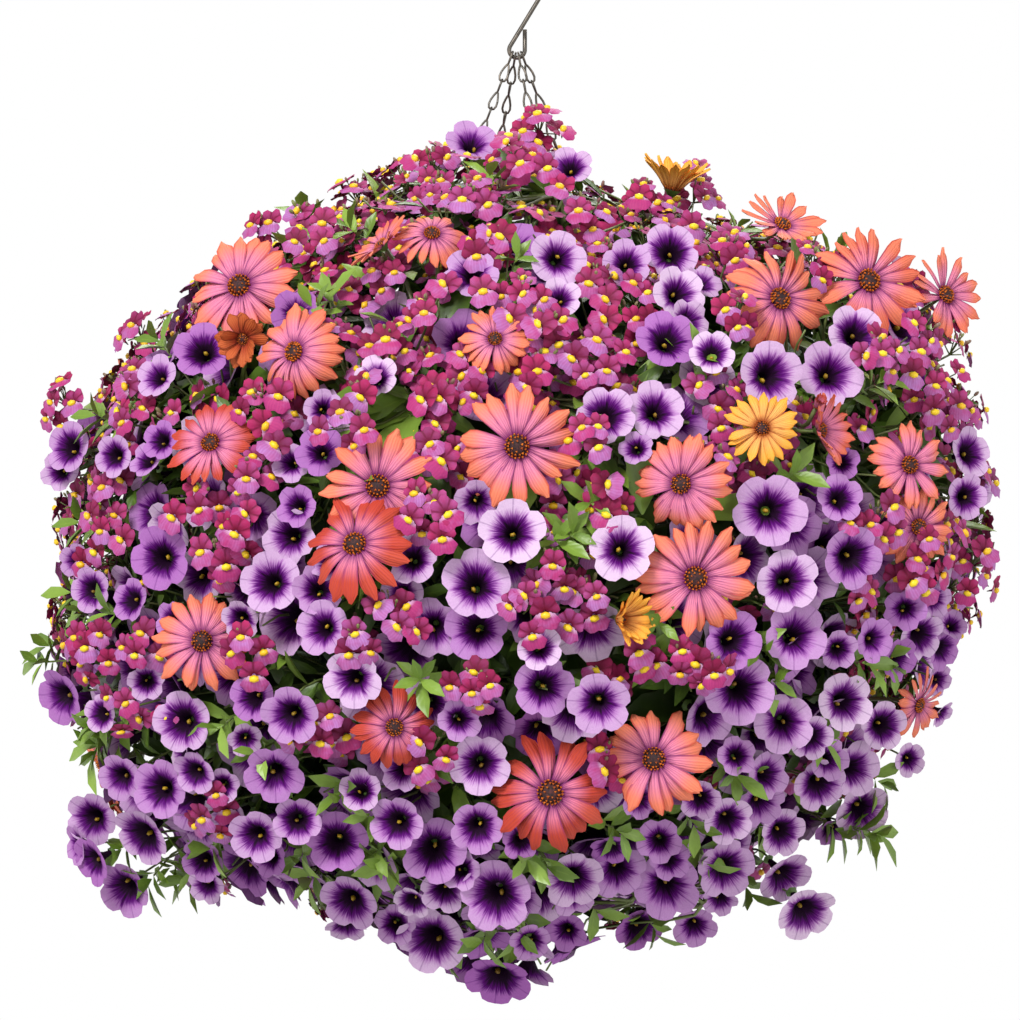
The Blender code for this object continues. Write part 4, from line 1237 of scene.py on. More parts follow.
@dataclass(frozen=True)
class RayFinish(Finish):
    """Daisy rays: mauve streaks at the root, pink at the middle, coral towards the tip, and painted
    shade along their edges.
    """

    root: Rgb = shade(112, 30, 98)
    middle: Rgb = shade(226, 128, 160)
    tip: Rgb = shade(240, 130, 98)
    deep: Rgb = shade(190, 68, 50)

    def dress(self, graph: Graph) -> None:
        """Fill the graph with a lengthways blend, fine streaks, and painted shade along the ray's edges.

        Args:
            graph: The graph.
        """
        along, across, tone, extra = graph.paint()
        drift = along + (graph.noise(60) - 0.5) * 0.25 - (extra - 0.5) * 0.5
        outer = graph.mix(tone.step(0.2, 0.9), self.tip, self.deep)
        colour = graph.mix(drift.step(0.20, 0.75), self.middle, outer)
        colour = graph.mix(along.step(0.0, 0.30), self.root, colour)
        lines = graph.math("SINE", across * 38.0 + (graph.noise(500.0) - 0.5) * 3.0) * 0.5 + 0.5
        strength = ((1.0 - along) ** 2.2) * 0.75 + 0.08
        colour = graph.mix((lines ** 3.0) * strength, colour, self.root)
        # Painted shade: each ray's edges are darkened towards its root and deep colours, standing in for
        # the shade that neighbouring rays cast.
        edge = graph.math("ABSOLUTE", across - 0.5).step(0.30, 0.50)
        shadow = graph.mix(along.step(0.3, 0.8), self.root, self.deep)
        colour = graph.mix(edge * 0.8, colour, shadow)
        graph.finish(colour, 0.60, lines, 0.00014, 0.25)


@dataclass(frozen=True)
class PlainFinish(Finish):
    """One living colour that drifts between two shades."""

    first: Rgb = (0.5, 0.5, 0.5)
    second: Rgb = (0.4, 0.4, 0.4)
    rough: float = 0.5
    grain: float = 220.0

    def dress(self, graph: Graph) -> None:
        """Fill the graph with a drift of the two shades.

        Args:
            graph: The graph.
        """
        _, _, tone, _ = graph.paint()
        noise = graph.noise(self.grain, 3.0)
        drift = (noise * 0.8 + tone * 0.6 - 0.2).clamped()
        graph.finish(graph.mix(drift, self.first, self.second), self.rough, noise, 0.0002)


@dataclass(frozen=True)
class TrumpetFinish(Finish):
    """Calibrachoa: dark violet throat with painted shade to near-black, violet fraying out along veins,
    pale rim.
    """

    # Throat: the flower's own dark violet, darkened towards black as painted shade of the deep funnel.
    throat: Rgb = shade(24, 1, 20)
    violet: Rgb = shade(88, 6, 108)
    pale: Rgb = shade(222, 194, 222)
    lilac: Rgb = shade(166, 100, 176)
    lobes: float = 5.0

    def dress(self, graph: Graph) -> None:
        """Fill the graph with rings that fray along the radius, and with painted shade in the creases
        between lobes and deep in the throat.

        Args:
            graph: The graph.
        """
        first, second, tone, extra = graph.paint()
        across = first * 2.5 - 1.25
        up = second * 2.5 - 1.25
        radius = graph.math("SQRT", across * across + up * up)
        angle = graph.math("ARCTAN2", up, across) * (self.lobes / math.tau)
        lobe = graph.math("ABSOLUTE", graph.math("FRACT", angle + 10.0) - 0.5)
        vein = (1.0 - lobe * 30.0).clamped()
        # Painted shade: the dark colour rings reach further out along the creases between lobes,
        # darkening them as shade would.
        crease_shade = lobe.step(0.36, 0.5)
        ring = [graph.math("DIVIDE", part, radius) * 9.0 for part in (across, up)]
        spread = {0: ring[0], 1: ring[1], 2: radius * 1.5 + extra * 40.0}
        spokes = graph.node("ShaderNodeCombineXYZ", {}, spread)
        fray = graph.node("ShaderNodeTexNoise", {}, {"Vector": spokes, "Scale": 1.9, "Detail": 5.0})
        star = radius - (fray - 0.5) * 0.46 - vein * 0.06 - crease_shade * 0.12 - (extra - 0.5) * 0.18
        rim = graph.mix(tone, self.pale, self.lilac)
        flush = graph.mix(star.step(0.56, 0.86), self.lilac, rim)
        colour = graph.mix(star.step(0.47, 0.70), self.violet, flush)
        colour = graph.mix(star.step(0.28, 0.52), self.throat, colour)
        fine = graph.math("SINE", fray * 60.0) * 0.07 + 0.07
        lines = fine + vein * radius.step(0.3, 0.6) * 0.40
        colour = graph.mix(lines, colour, self.violet)
        graph.finish(colour, 0.75, graph.noise(700.0, 4.0), 0.0003, 0.15)


@dataclass(frozen=True)
class FloretFinish(Finish):
    """Nemesia's lobes: mottled between two shades, with another at the throat, a darker one for veins
    and some florets, and painted shade in the folds.
    """

    main: Rgb = shade(172, 44, 96)
    faded: Rgb = shade(168, 84, 148)
    throat: Rgb = shade(96, 8, 44)
    # The darker colour: real veins and randomly darker florets, and also painted shade in the folds.
    fold: Rgb = shade(96, 8, 44)
    spread: tuple[float, float] = (-0.1, 0.9)
    crease_shade: float = 0.8

    def dress(self, graph: Graph) -> None:
        """Fill the graph with mottling, throat, veins, and painted shade in the folds between lobes and
        at the lip's sides.

        Args:
            graph: The graph.
        """
        along, side, tone, extra = graph.paint()
        drift = tone * 1.1 - 0.2 + (graph.noise(260.0, 4.0) - 0.5) * 1.2
        colour = graph.mix(drift.clamped(), self.main, self.faded)
        colour = graph.mix(extra.step(0.4, 1.0) * 0.55, colour, self.fold)
        colour = graph.mix(along.step(*self.spread), self.throat, colour)
        # Painted shade: darker towards the notches between hood lobes and at the lip's curled sides.
        colour = graph.mix(side.step(0.5, 1.0) * self.crease_shade, colour, self.fold)
        veins = graph.math("SINE", side * 30.0) * 0.12 + 0.12
        colour = graph.mix(veins, colour, self.fold)
        graph.finish(colour, 0.6, graph.noise(800.0), 0.0002, 0.2)


@dataclass(frozen=True)
class LeafFinish(Finish):
    """Leaves: paler midrib, blades that drift from yellow green to deep green, by their own tone and by
    painted shade deeper in the ball.
    """

    fresh: Rgb = shade(134, 164, 66)
    full: Rgb = shade(84, 112, 40)
    deep: Rgb = shade(40, 58, 24)

    def dress(self, graph: Graph) -> None:
        """Fill the graph with blade, rib and blotches.

        Args:
            graph: The graph.
        """
        along, side, tone, _ = graph.paint()
        blotch = graph.noise(120.0, 4.0)
        colour = graph.mix((tone * 2.0).clamped(), self.deep, self.full)
        fresh = (tone * 2.0 - 1.0 + (blotch - 0.5) * 0.5).clamped()
        colour = graph.mix(fresh, colour, self.fresh)
        rib = (1.0 - side * 6.0).clamped()
        colour = graph.mix(rib * 0.35 * tone.step(0.1, 0.6), colour, self.fresh)
        veins = graph.math("SINE", along * 34.0 - side * 9.0) * 0.25
        graph.finish(colour, 0.40, veins + blotch * 3.0, 0.00010)


@dataclass(frozen=True)
class GrainFinish(Finish):
    """Two shades in patches, with a grain: metal, plastic, compost and the daisies' discs."""

    first: Rgb = (0.1, 0.1, 0.1)
    second: Rgb = (0.2, 0.2, 0.2)
    patches: float = 300.0
    spread: tuple[float, float] = (0.4, 0.7)
    rough: float = 0.5
    depth: float = 0.0002
    metallic: float = 0.0

    def dress(self, graph: Graph) -> None:
        """Fill the graph with patches and grain.

        Args:
            graph: The graph.
        """
        patch = graph.noise(self.patches, 5.0)
        colour = graph.mix(patch.step(*self.spread), self.first, self.second)
        rough = patch * 0.3 + (self.rough - 0.15)
        grain = graph.noise(self.patches * 4)
        graph.finish(colour, rough, grain, self.depth, metallic=self.metallic)


RAY = RayFinish("osteospermum_ray")
GOLD_RAY = RayFinish(
    "osteospermum_gold_ray", shade(156, 66, 30), shade(250, 176, 96), shade(252, 178, 70),
    shade(240, 144, 34),
)
WILTED_RAY = RayFinish(
    "osteospermum_wilted_ray", shade(70, 26, 20), shade(168, 66, 40), shade(190, 92, 50),
    shade(120, 50, 30),
)
DISC = GrainFinish("osteospermum_disc", shade(36, 14, 18), shade(84, 40, 40), 900.0, (0.4, 0.7), 0.7)
POLLEN = PlainFinish("osteospermum_pollen", shade(236, 128, 22), shade(150, 58, 14), 0.7)
CALYX = PlainFinish("calyx_green", shade(96, 128, 56), shade(70, 92, 44))
TRUMPET = TrumpetFinish("calibrachoa_trumpet")
EYE = PlainFinish("calibrachoa_eye", shade(196, 158, 36), shade(92, 62, 20))
HOOD = FloretFinish("nemesia_hood")
LIP = FloretFinish(
    "nemesia_lip", shade(178, 60, 118), shade(178, 122, 188), shade(212, 172, 208),
    shade(140, 30, 104), (0.10, 0.34), 0.35,
)
PALATE = PlainFinish("nemesia_palate", shade(252, 224, 44), shade(246, 178, 30), 0.45)
BUD = PlainFinish("nemesia_bud", shade(118, 140, 66), shade(132, 66, 90))
LEAF = LeafFinish("leaf_green")
STEM = PlainFinish("stem_green", shade(112, 132, 66), shade(84, 76, 56), 0.5)
WIRE = GrainFinish(
    "dark_wire", shade(88, 84, 78), shade(132, 122, 112), 260.0, (0.4, 0.8), 0.40, 0.00002, 0.8,
)
MOULDED = GrainFinish("moulded_plastic", shade(38, 40, 38), shade(84, 74, 62), 45.0, (0.5, 0.8), 0.5)
COMPOST = GrainFinish("compost", shade(40, 30, 24), shade(88, 68, 52), 320.0, (0.35, 0.65), 0.9, 0.002)


@dataclass
class Maker:
    """What the makers of blooms share."""

    patterns: Patterns
    draw: random.Random


@dataclass
class Daisy(Maker):
    """Builds osteospermum blooms."""

    ray_count: tuple[int, int] = (16, 19)
    root_ring: float = 0.15
    finishes: tuple[Finish, ...] = (RAY, GOLD_RAY, WILTED_RAY, DISC, POLLEN, CALYX)

    def add(self, bouquet: Bouquet, bloom: Bloom) -> None:
        """Add one daisy.

        Args:
            bouquet: The piece that it joins.
            bloom: Where and how it stands.
        """
        draw = self.draw
        mood, right, up, sweep = DAISY_LOOKS.get(bloom.mark, LEVEL_LOOK)
        axis = bloom.axis.copy()
        axis.rotate(Matrix.Rotation(math.radians(right), 3, "Z"))
        axis.rotate(Matrix.Rotation(math.radians(-up), 3, "X"))
        facing = facing_matrix(bloom.place, axis, draw.uniform(0, math.tau))
        base = facing @ Matrix.Scale(bloom.radius * (1.4 if mood is Mood.HALF_CLOSED else 1.0), 4)
        lift = MOOD_LIFTS.get(mood, draw.uniform(-3, 6) - sweep * 20)
        slot = MOOD_SLOTS.get(mood, 0)
        tone = MOOD_TONES.get(mood, draw.uniform(0.05, 0.4))
        pinkness = draw.uniform(0.25, 0.9)
        count = draw.randint(*self.ray_count)
        slim = 1.6 if mood is Mood.WILTED else draw.uniform(0.85, 1.08)
        phase = draw.uniform(0, math.tau)
        sway = draw.uniform(3, 11)
        for k in range(count):
            turn = (k + draw.uniform(-0.28, 0.28)) / count
            swing = math.cos(turn * math.tau - phase)
            ray_tone = held(tone + draw.uniform(-0.15, 0.15))
            stand = lift + sway * swing + draw.gauss(0, 26 if mood is Mood.WILTED else 3.5)
            twist = 9 + draw.gauss(0, 7) + 20 * max(0.0, swing - 0.4)
            matrix = base @ self.ray_matrix(turn, stand, twist, slim)
            wanted = sweep - 0.06 * swing + draw.gauss(0, 0.06)
            choices = sorted(self.patterns.rays, key=lambda row: abs(row[0] - wanted))[:2]
            bouquet.add(draw.choice(choices)[1], matrix, slot, ray_tone, pinkness)
        self.add_disc(bouquet, base)

    def ray_matrix(self, turn: float, stand: float, twist: float, slim: float) -> Matrix:
        """Return a ray's matrix, in daisy radii.

        Args:
            turn: Where it stands round the disc, 0 to 1.
            stand: Degrees by which it stands up.
            twist: Degrees by which it is turned about its length.
            slim: Its width, as a share of the pattern's.

        Returns:
            The matrix.
        """
        draw = self.draw
        length = (1 - self.root_ring) * min(1.12, draw.gauss(1.05, 0.05))
        return (
            Matrix.Rotation(turn * math.tau, 4, "Z")
            @ Matrix.Translation((0, self.root_ring, 0.01 + 0.02 * draw.random()))
            @ Matrix.Rotation(math.radians(stand), 4, "X")
            @ Matrix.Rotation(math.radians(twist), 4, "Y")
            @ Matrix.Rotation(math.radians(draw.uniform(-5, 5)), 4, "Z")
            @ Matrix.Diagonal((length * slim * draw.uniform(0.88, 1.1), length, length, 1.0))
        )

    def add_disc(self, bouquet: Bouquet, base: Matrix) -> None:
        """Add the disc, its rings of open florets and the green cup behind.

        Args:
            bouquet: The piece that they join.
            base: The daisy's matrix, scaled to its radius.
        """
        draw = self.draw
        bouquet.add(self.patterns.disc, base @ Matrix.Translation((0, 0, 0.03)), 3)
        for ring, count, height in DISC_RINGS:
            for k in range(count):
                turn = (k + draw.uniform(-0.2, 0.2)) / count * math.tau
                spot = Matrix.Translation((ring * math.cos(turn), ring * math.sin(turn), height))
                lean = Matrix.Rotation(draw.uniform(-0.4, 0.4), 4, "X")
                matrix = base @ spot @ lean @ Matrix.Scale(draw.uniform(1.1, 1.5), 4)
                bouquet.add(self.patterns.grain, matrix, 4, draw.random())
        flip = Matrix.Rotation(math.pi, 4, "X")
        bouquet.add(self.patterns.calyx, base @ flip @ Matrix.Scale(0.72, 4), 5, draw.random())


@dataclass
class Trumpet(Maker):
    """Builds calibrachoa blooms."""

    pale_above: float = -0.33
    finishes: tuple[Finish, ...] = (TRUMPET, EYE, CALYX)

    def add(self, bouquet: Bouquet, bloom: Bloom) -> None:
        """Add one trumpet.

        Args:
            bouquet: The piece that it joins.
            bloom: Where and how it stands.
        """
        draw = self.draw
        axis = (bloom.axis + random_vector(draw) * 0.2).normalized()
        facing = facing_matrix(bloom.place, axis, draw.uniform(0, math.tau))
        squeeze = Matrix.Diagonal((1.0, draw.uniform(0.92, 1.0), 1.0, 1.0))
        base = facing @ Matrix.Scale(bloom.radius, 4) @ squeeze
        shapes = self.patterns.plain_trumpets if bloom.filler else self.patterns.trumpets
        low = held((self.pale_above - bloom.place.z - bloom.place.x) * 3)
        tone = draw.betavariate(1.1 + low, 1.3)
        bouquet.add(draw.choice(shapes), base, 0, tone, draw.random() * 0.7 + low * 0.3)
        wander = Matrix.Translation((draw.uniform(-0.08, 0.08), draw.uniform(-0.08, 0.08), -0.46))
        bouquet.add(self.patterns.eye, base @ wander, 1, draw.random())
        cup = Matrix.Translation((0, 0, -1.16)) @ Matrix.Scale(0.72, 4)
        bouquet.add(self.patterns.calyx, base @ cup, 2, draw.random())


@dataclass
class Head(Maker):
    """Builds nemesia heads of small two-lipped florets and buds."""

    ball: Ball
    floret_radius: float = 0.0088
    spacing: float = 0.0104
    buds: int = 5
    finishes: tuple[Finish, ...] = (HOOD, LIP, PALATE, BUD, STEM)

    def add(self, bouquet: Bouquet, bloom: Bloom) -> None:
        """Add one head.

        Args:
            bouquet: The piece that it joins.
            bloom: Where and how it stands.
        """
        draw = self.draw
        core = bloom.place - bloom.axis * bloom.radius * 0.7
        spots = []
        for mark in bloom.florets:
            place, slide = self.ball.seen(*mark)
            lift = bloom.lift + draw.uniform(0.0, 0.004)
            spots.append(place + slide * lift)
        wanted = 6 if bloom.filler else 9
        facing = facing_matrix(core, bloom.axis, draw.uniform(0, math.tau))
        for k in range(wanted):
            height = 1 - 0.95 * (k + 0.5) / wanted
            ring = math.sqrt(1 - height * height)
            way = Vector((ring * math.cos(GOLDEN * k), ring * math.sin(GOLDEN * k), height))
            spot = facing @ (way * bloom.radius * draw.uniform(0.75, 1.0))
            if all((spot - other).length > self.spacing for other in spots):
                spots.append(spot)
        tone = draw.random()
        for spot in spots:
            self.add_floret(bouquet, spot, core, bloom, tone)
        for _ in range(self.buds):
            way = (bloom.axis * 0.7 + Vector((0, 0, 1)) + random_vector(draw) * 0.7).normalized()
            spot = core + way * bloom.radius * draw.uniform(0.8, 1.15)
            matrix = facing_matrix(spot, way) @ Matrix.Scale(draw.uniform(0.0012, 0.0024), 4)
            bouquet.add(self.patterns.bud, matrix, 3, draw.random())
            bouquet.add_stem([core, spot], (0.0005, 0.0003), 4, 0.4)

    def add_floret(
        self, bouquet: Bouquet, spot: Vector, core: Vector, bloom: Bloom, tone: float,
    ) -> None:
        """Add one floret and its short stalk.

        Args:
            bouquet: The piece that they join.
            spot: The floret's place.
            core: Middle of its head.
            bloom: Its head.
            tone: The head's tone.
        """
        draw = self.draw
        out = (spot - core).normalized()
        look = (bloom.axis + out * 0.55 + random_vector(draw) * 0.35).normalized()
        right = (Vector((0, 0, 1)) + random_vector(draw) * 0.8).cross(look)
        if right.length < 0.1:
            right = Vector((1, 0, 0))
        right.normalize()
        size = Matrix.Scale(self.floret_radius * draw.uniform(0.85, 1.12), 4)
        matrix = sides_matrix(right, look.cross(right), look, spot) @ size
        tone = held(tone * 0.6 + draw.uniform(-0.1, 0.4))
        plain = int(bloom.filler)
        bouquet.add(self.patterns.hoods[plain], matrix, 0, tone, draw.random())
        bouquet.add(self.patterns.lips[plain], matrix, 1, draw.random())
        bump = Matrix.Translation((0, -0.12, 0.20))
        bouquet.add(self.patterns.palates[plain], matrix @ bump, 2, draw.random())
        if not bloom.filler:
            back = Matrix.Translation((0, -0.1, 0.02)) @ Matrix.Rotation(math.pi * 0.85, 4, "X")
            bouquet.add(self.patterns.spur, matrix @ back, 0, tone)
        bouquet.add_stem([spot - look * self.floret_radius * 0.35, core], (0.0004, 0.0005), 4)


def curved_path(start: Vector, leave: Vector, end: Vector, arrive: Vector, count: int) -> list[Vector]:
    """Follow a cubic curve.

    Args:
        start: First point.
        leave: Control vector from the first point.
        end: Last point.
        arrive: Control vector from the last point.
        count: Steps.

    Returns:
        The points.
    """
    points = []
    for k in range(count + 1):
        t = k / count
        points.append(
            start * (1 - t) ** 3 + (start + leave) * (3 * t * (1 - t) ** 2)
            + (end + arrive) * (3 * t * t * (1 - t)) + end * t ** 3
        )
    return points


def smooth_line(points: list[Vector], steps: int) -> list[Vector]:
    """Round a line of points off.

    Args:
        points: The points.
        steps: Steps from each point to the next.

    Returns:
        Points on the smooth line.
    """
    path = []
    for k in range(len(points) - 1):
        leave = (points[k + 1] - points[max(0, k - 1)]) / 6
        arrive = (points[k] - points[min(len(points) - 1, k + 2)]) / 6
        path += curved_path(points[k], leave, points[k + 1], arrive, steps)[:-1]
    return path + [points[-1]]


@dataclass
class Foliage:
    """Stems and leaves of all the plants, grown round their blooms."""

    layout: Layout
    patterns: Patterns
    blooms: list[Bloom]
    draw: random.Random
    lit_depth: float = 0.06
    # Depth under the ball's surface at which the painted shade makes a leaf darkest.
    painted_shade_depth: float = 0.055
    long_leaf: float = 0.033
    proud: float = 0.003
    cover_share: float = 0.92
    sprig_leaves: int = 8

    def __post_init__(self) -> None:
        """Note where the blooms are and grow the main stems."""
        self.ball = self.layout.ball
        self.bouquets = {name: Bouquet(name + "_foliage") for name in CROWNS}
        self.joints = {name: self.grow_limbs(name) for name in CROWNS}
        self.places = np.array([tuple(bloom.place) for bloom in self.blooms])
        self.axes = np.array([tuple(bloom.axis) for bloom in self.blooms])
        self.radii = np.array([bloom.radius for bloom in self.blooms])

    def grow_limbs(self, name: str) -> list[Vector]:
        """Grow a plant's main stems from its crown.

        Args:
            name: The plant.

        Returns:
            Joints that stalks may leave from.
        """
        draw = random.Random(name)
        crown = CROWNS[name]
        outward = Vector((crown.x, crown.y, 0)).normalized()
        joints = []
        for turn, stations in LIMBS:
            way = Matrix.Rotation(math.radians(turn), 3, "Z") @ outward
            points = [crown - Vector((0, 0, 0.02)), crown + Vector((0, 0, 0.012))]
            points += [
                way * ring + Vector((0, 0, POT_RIM_Z + rise)) + random_vector(draw) * 0.006
                for ring, rise in stations
            ]
            path = smooth_line(points, 4)
            self.bouquets[name].add_stem(path, (0.0024, 0.0014), 1, draw.random(), 6)
            joints += path[6:]
        return joints

    def grow_stem(
        self, name: str, tip: Vector, way: Vector, girths: tuple[float, float], bow: float,
    ) -> list[Vector]:
        """Grow a thin stem from a tip back to the nearest main stem.

        Args:
            name: Its plant.
            tip: Its tip.
            way: Where the tip points.
            girths: Its radius at the tip and at the main stem.
            bow: How far it bows outwards, as a share of its reach.

        Returns:
            Its path from the tip.
        """
        joint = min(self.joints[name], key=lambda place: (place - tip).length)
        reach = (joint - tip).length
        arrive = self.ball.outward(tip) * reach * bow
        path = curved_path(tip, -way * reach * 0.4, joint, arrive, 6)
        self.bouquets[name].add_stem(path, girths, 1, self.draw.random())
        return path

    def covers(self, point: Vector) -> bool:
        """Tell whether a point lies in front of a bloom and would hide it.

        Args:
            point: The point.

        Returns:
            Whether it does.
        """
        offset = np.array(point) - self.places
        ahead = (offset * self.axes).sum(axis=1)
        lateral = np.sqrt(np.maximum(0, (offset ** 2).sum(axis=1) - ahead ** 2))
        front = (ahead > -0.25 * self.radii) & (ahead < 0.05)
        return bool(((lateral < self.radii * self.cover_share) & front).any())

    def add_leaf(
        self, name: str, root: Vector, way: Vector, length: float, tone: float, free: bool = False,
    ) -> None:
        """Add one leaf, upper face outwards and up, where it hides no bloom and stays in the ball.

        Args:
            name: The plant.
            root: The leaf's root.
            way: Where its tip points.
            length: Its length.
            tone: Its tone.
            free: Whether it may be anywhere.
        """
        if not free:
            sunk = self.ball.sunk(root + way * length)
            hidden = sunk > self.lit_depth and length < self.long_leaf
            spots = [root + way * length * share for share in (0.15, 0.5, 1.0)]
            if hidden or sunk < -self.proud or any(self.covers(spot) for spot in spots):
                return
            # Painted shade: a leaf's tone darkens the deeper its tip lies under the ball's surface.
            tone = held(tone * (1.15 - held(sunk / self.painted_shade_depth)))
        outward = self.ball.outward(root) + Vector((0, 0, 0.5)) + random_vector(self.draw) * 0.4
        right = way.cross(outward)
        if right.length >= 0.05:
            right.normalize()
            matrix = sides_matrix(right, way, right.cross(way), root) @ Matrix.Scale(length, 4)
            self.bouquets[name].add(self.patterns.leaves[kind_of(name)], matrix, 0, tone)

    def add_leaves_along(self, name: str, path: list[Vector]) -> None:
        """Set leaves along a stretch of stem.

        Args:
            name: The plant.
            path: The stretch, from its outer end.
        """
        draw = self.draw
        habit = KINDS[kind_of(name)]
        turn = draw.uniform(0, math.tau)
        for outer, inner in zip(path, path[1:]):
            stretch = outer - inner
            along = stretch.normalized()
            steps = max(1, min(5, round(stretch.length / habit.leaf_spacing)))
            for k in range(steps):
                root = inner.lerp(outer, (k + draw.random()) / steps)
                turn += LEAF_TURN
                side = along.orthogonal().normalized()
                side.rotate(Matrix.Rotation(turn, 3, along))
                way = (side + along * draw.uniform(0.3, 1.1)).normalized()
                tone = draw.gauss(0.68, 0.25)
                length = draw.uniform(habit.leaf_least, habit.leaf_most)
                self.add_leaf(name, root, way, length, tone)

    def add_stalks(self) -> None:
        """Grow a stalk with a few leaves behind every bloom."""
        for bloom in self.blooms:
            habit = KINDS[bloom.kind]
            neck = bloom.place - bloom.axis * bloom.radius * habit.neck
            girths = (habit.girth, habit.girth * 1.2)
            path = self.grow_stem(bloom.plant, neck, bloom.axis, girths, 0.15)
            self.add_leaves_along(bloom.plant, path[1:5])

    def add_shoots(self, count: int, kinds: tuple[Kind, ...], insets: tuple[float, float]) -> None:
        """Grow leafy shoots all over the ball.

        Args:
            count: How many.
            kinds: The kinds that they are drawn from.
            insets: Least and greatest depth of their tips under the ball's surface.
        """
        for outward in spiral(count):
            kind = self.draw.choice(kinds)
            tip = self.ball.under(outward, self.draw.uniform(*insets))
            way = (outward + random_vector(self.draw) * 0.4).normalized()
            name = self.layout.nearest_plant(kind, tip)
            path = self.grow_stem(name, tip, way, SHOOT_GIRTHS, 0.2)
            self.add_leaves_along(name, path)

    def add_sprigs(self) -> None:
        """Grow the leafy tips that show at the edge of the front view."""
        draw = self.draw
        for across, down in SPRIGS:
            place, _ = self.ball.seen(across, down)
            way = (self.ball.outward(place) + random_vector(draw) * 0.3).normalized()
            root = place - way * 0.012
            name = self.layout.nearest_plant(Kind.CALIBRACHOA, root)
            self.grow_stem(name, root, way, SHOOT_GIRTHS, 0.2)
            for k in range(self.sprig_leaves):
                side = way.orthogonal().normalized()
                side.rotate(Matrix.Rotation(LEAF_TURN * k, 3, way))
                aim = (way * (0.25 + 0.12 * k) + side).normalized()
                spot = root - way * 0.002 * (4 - k)
                length = draw.uniform(0.013, 0.021)
                self.add_leaf(name, spot, aim, length, draw.uniform(0.6, 1.0), True)


@dataclass
class Garden:
    """All the plants: their blooms and foliage."""

    layout: Layout
    patterns: Patterns
    seed: int = 11
    shoots: int = 740
    inner_shoots: int = 130
    fillers: int = 1000
    floret_reach: float = 40.0

    def __post_init__(self) -> None:
        """Take the blooms of the solids."""
        self.draw = random.Random(self.seed)
        self.blooms = self.layout.settled()

    def add_fillers(self) -> None:
        """Add the smaller blooms between those of the solids."""
        draw = self.draw
        ball = self.layout.ball
        for across, down, width in MORE_TRUMPETS:
            place, slide = ball.seen(across, down)
            lean = random_vector(draw) * 0.25
            axis = (ball.outward(place) * 0.5 + slide * 0.5 + lean).normalized()
            radius = width * UNIT / 2 * 0.92
            self.fill(Bloom(Kind.CALIBRACHOA, place - slide * 0.006, axis, radius, filler=True), 0.62)
        for outward in spiral(self.fillers):
            high = draw.random() < 0.45 + 0.55 * outward.z
            kind = Kind.NEMESIA if high else Kind.CALIBRACHOA
            front = outward.y < FRONT_LIMIT
            place = ball.under(outward, draw.uniform(*((0.010, 0.030) if front else (0.003, 0.018))))
            axis = (outward + random_vector(draw) * 0.35).normalized()
            radius = KINDS[kind].grid_radius * draw.uniform(0.75, 1.0)
            share = 0.8 if high or not front else 0.66
            self.fill(Bloom(kind, place, axis, radius, filler=True), share)

    def fill(self, bloom: Bloom, share: float) -> None:
        """Add a bloom where it has room.

        Args:
            bloom: The bloom.
            share: Share of the two radii that has to lie between two middles.
        """
        for other in self.blooms:
            if (other.place - bloom.place).length < (other.radius + bloom.radius) * share:
                return
        bloom.plant = self.layout.nearest_plant(bloom.kind, bloom.place)
        self.blooms.append(bloom)

    def share_florets(self) -> None:
        """Give each floret of the front view to the nearest head."""
        heads = [bloom for bloom in self.blooms if bloom.kind is Kind.NEMESIA and bloom.mark]
        for spot in FLORETS:
            head = min(heads, key=lambda bloom: math.dist(bloom.mark, spot))
            if math.dist(head.mark, spot) < self.floret_reach:
                head.florets.append(spot)

    def build(self) -> None:
        """Build every plant's pieces in place of its solid."""
        self.add_fillers()
        self.share_florets()
        LOG.info("%d blooms", len(self.blooms))
        makers = {
            Kind.OSTEOSPERMUM: Daisy(self.patterns, self.draw),
            Kind.CALIBRACHOA: Trumpet(self.patterns, self.draw),
            Kind.NEMESIA: Head(self.patterns, self.draw, self.layout.ball),
        }
        bouquets = {name: Bouquet(name + "_blooms") for name in CROWNS}
        for bloom in self.blooms:
            makers[bloom.kind].add(bouquets[bloom.plant], bloom)
        foliage = Foliage(self.layout, self.patterns, self.blooms, self.draw)
        foliage.add_stalks()
        kinds = (Kind.CALIBRACHOA, Kind.NEMESIA, Kind.CALIBRACHOA, Kind.NEMESIA, Kind.OSTEOSPERMUM)
        foliage.add_shoots(self.shoots, kinds, (0.004, 0.030))
        foliage.add_shoots(self.inner_shoots, (Kind.OSTEOSPERMUM,), (0.055, 0.085))
        foliage.add_sprigs()
        for name in CROWNS:
            kind = kind_of(name)
            petals = bouquets[name].build(makers[kind].finishes)
            green = foliage.bouquets[name].build((LEAF, STEM))
            stand_in(petals, name)
            stand_in(green, name)


@dataclass
class Hook:
    """The S hook of round wire."""

    wire: float = HOOK_WIRE
    top_bend: float = 0.0165
    low_bend: float = HOOK_LOW_BEND
    lean: float = math.radians(33)
    top_end: float = math.radians(205)
    arm_top: float = -0.0441
    sides: int = 14

    def arc(self, middle: float, radius: float, start: float, end: float, count: int) -> list[Vector]:
        """Return points of an arc about the plumb line, from one angle to another."""
        angles = [start + (end - start) * k / count for k in range(count + 1)]
        return [Vector((radius * math.cos(a), 0.0, middle + radius * math.sin(a))) for a in angles]

    def build(self) -> None:
        """Build the hook in place of its solid."""
        upper = self.arc(self.wire - self.top_bend, self.top_bend, self.top_end, -self.lean, 40)
        lower = self.arc(HOOK_LOW_Z, self.low_bend, math.pi - self.lean * 0.9, math.tau, 24)
        path = upper + lower + [Vector((self.low_bend, 0.0, self.arm_top))]
        bouquet = Bouquet("hook_wire")
        bouquet.add_stem(path, (self.wire, self.wire), 0, sides=self.sides)
        stand_in(bouquet.build((WIRE,)), "hook")


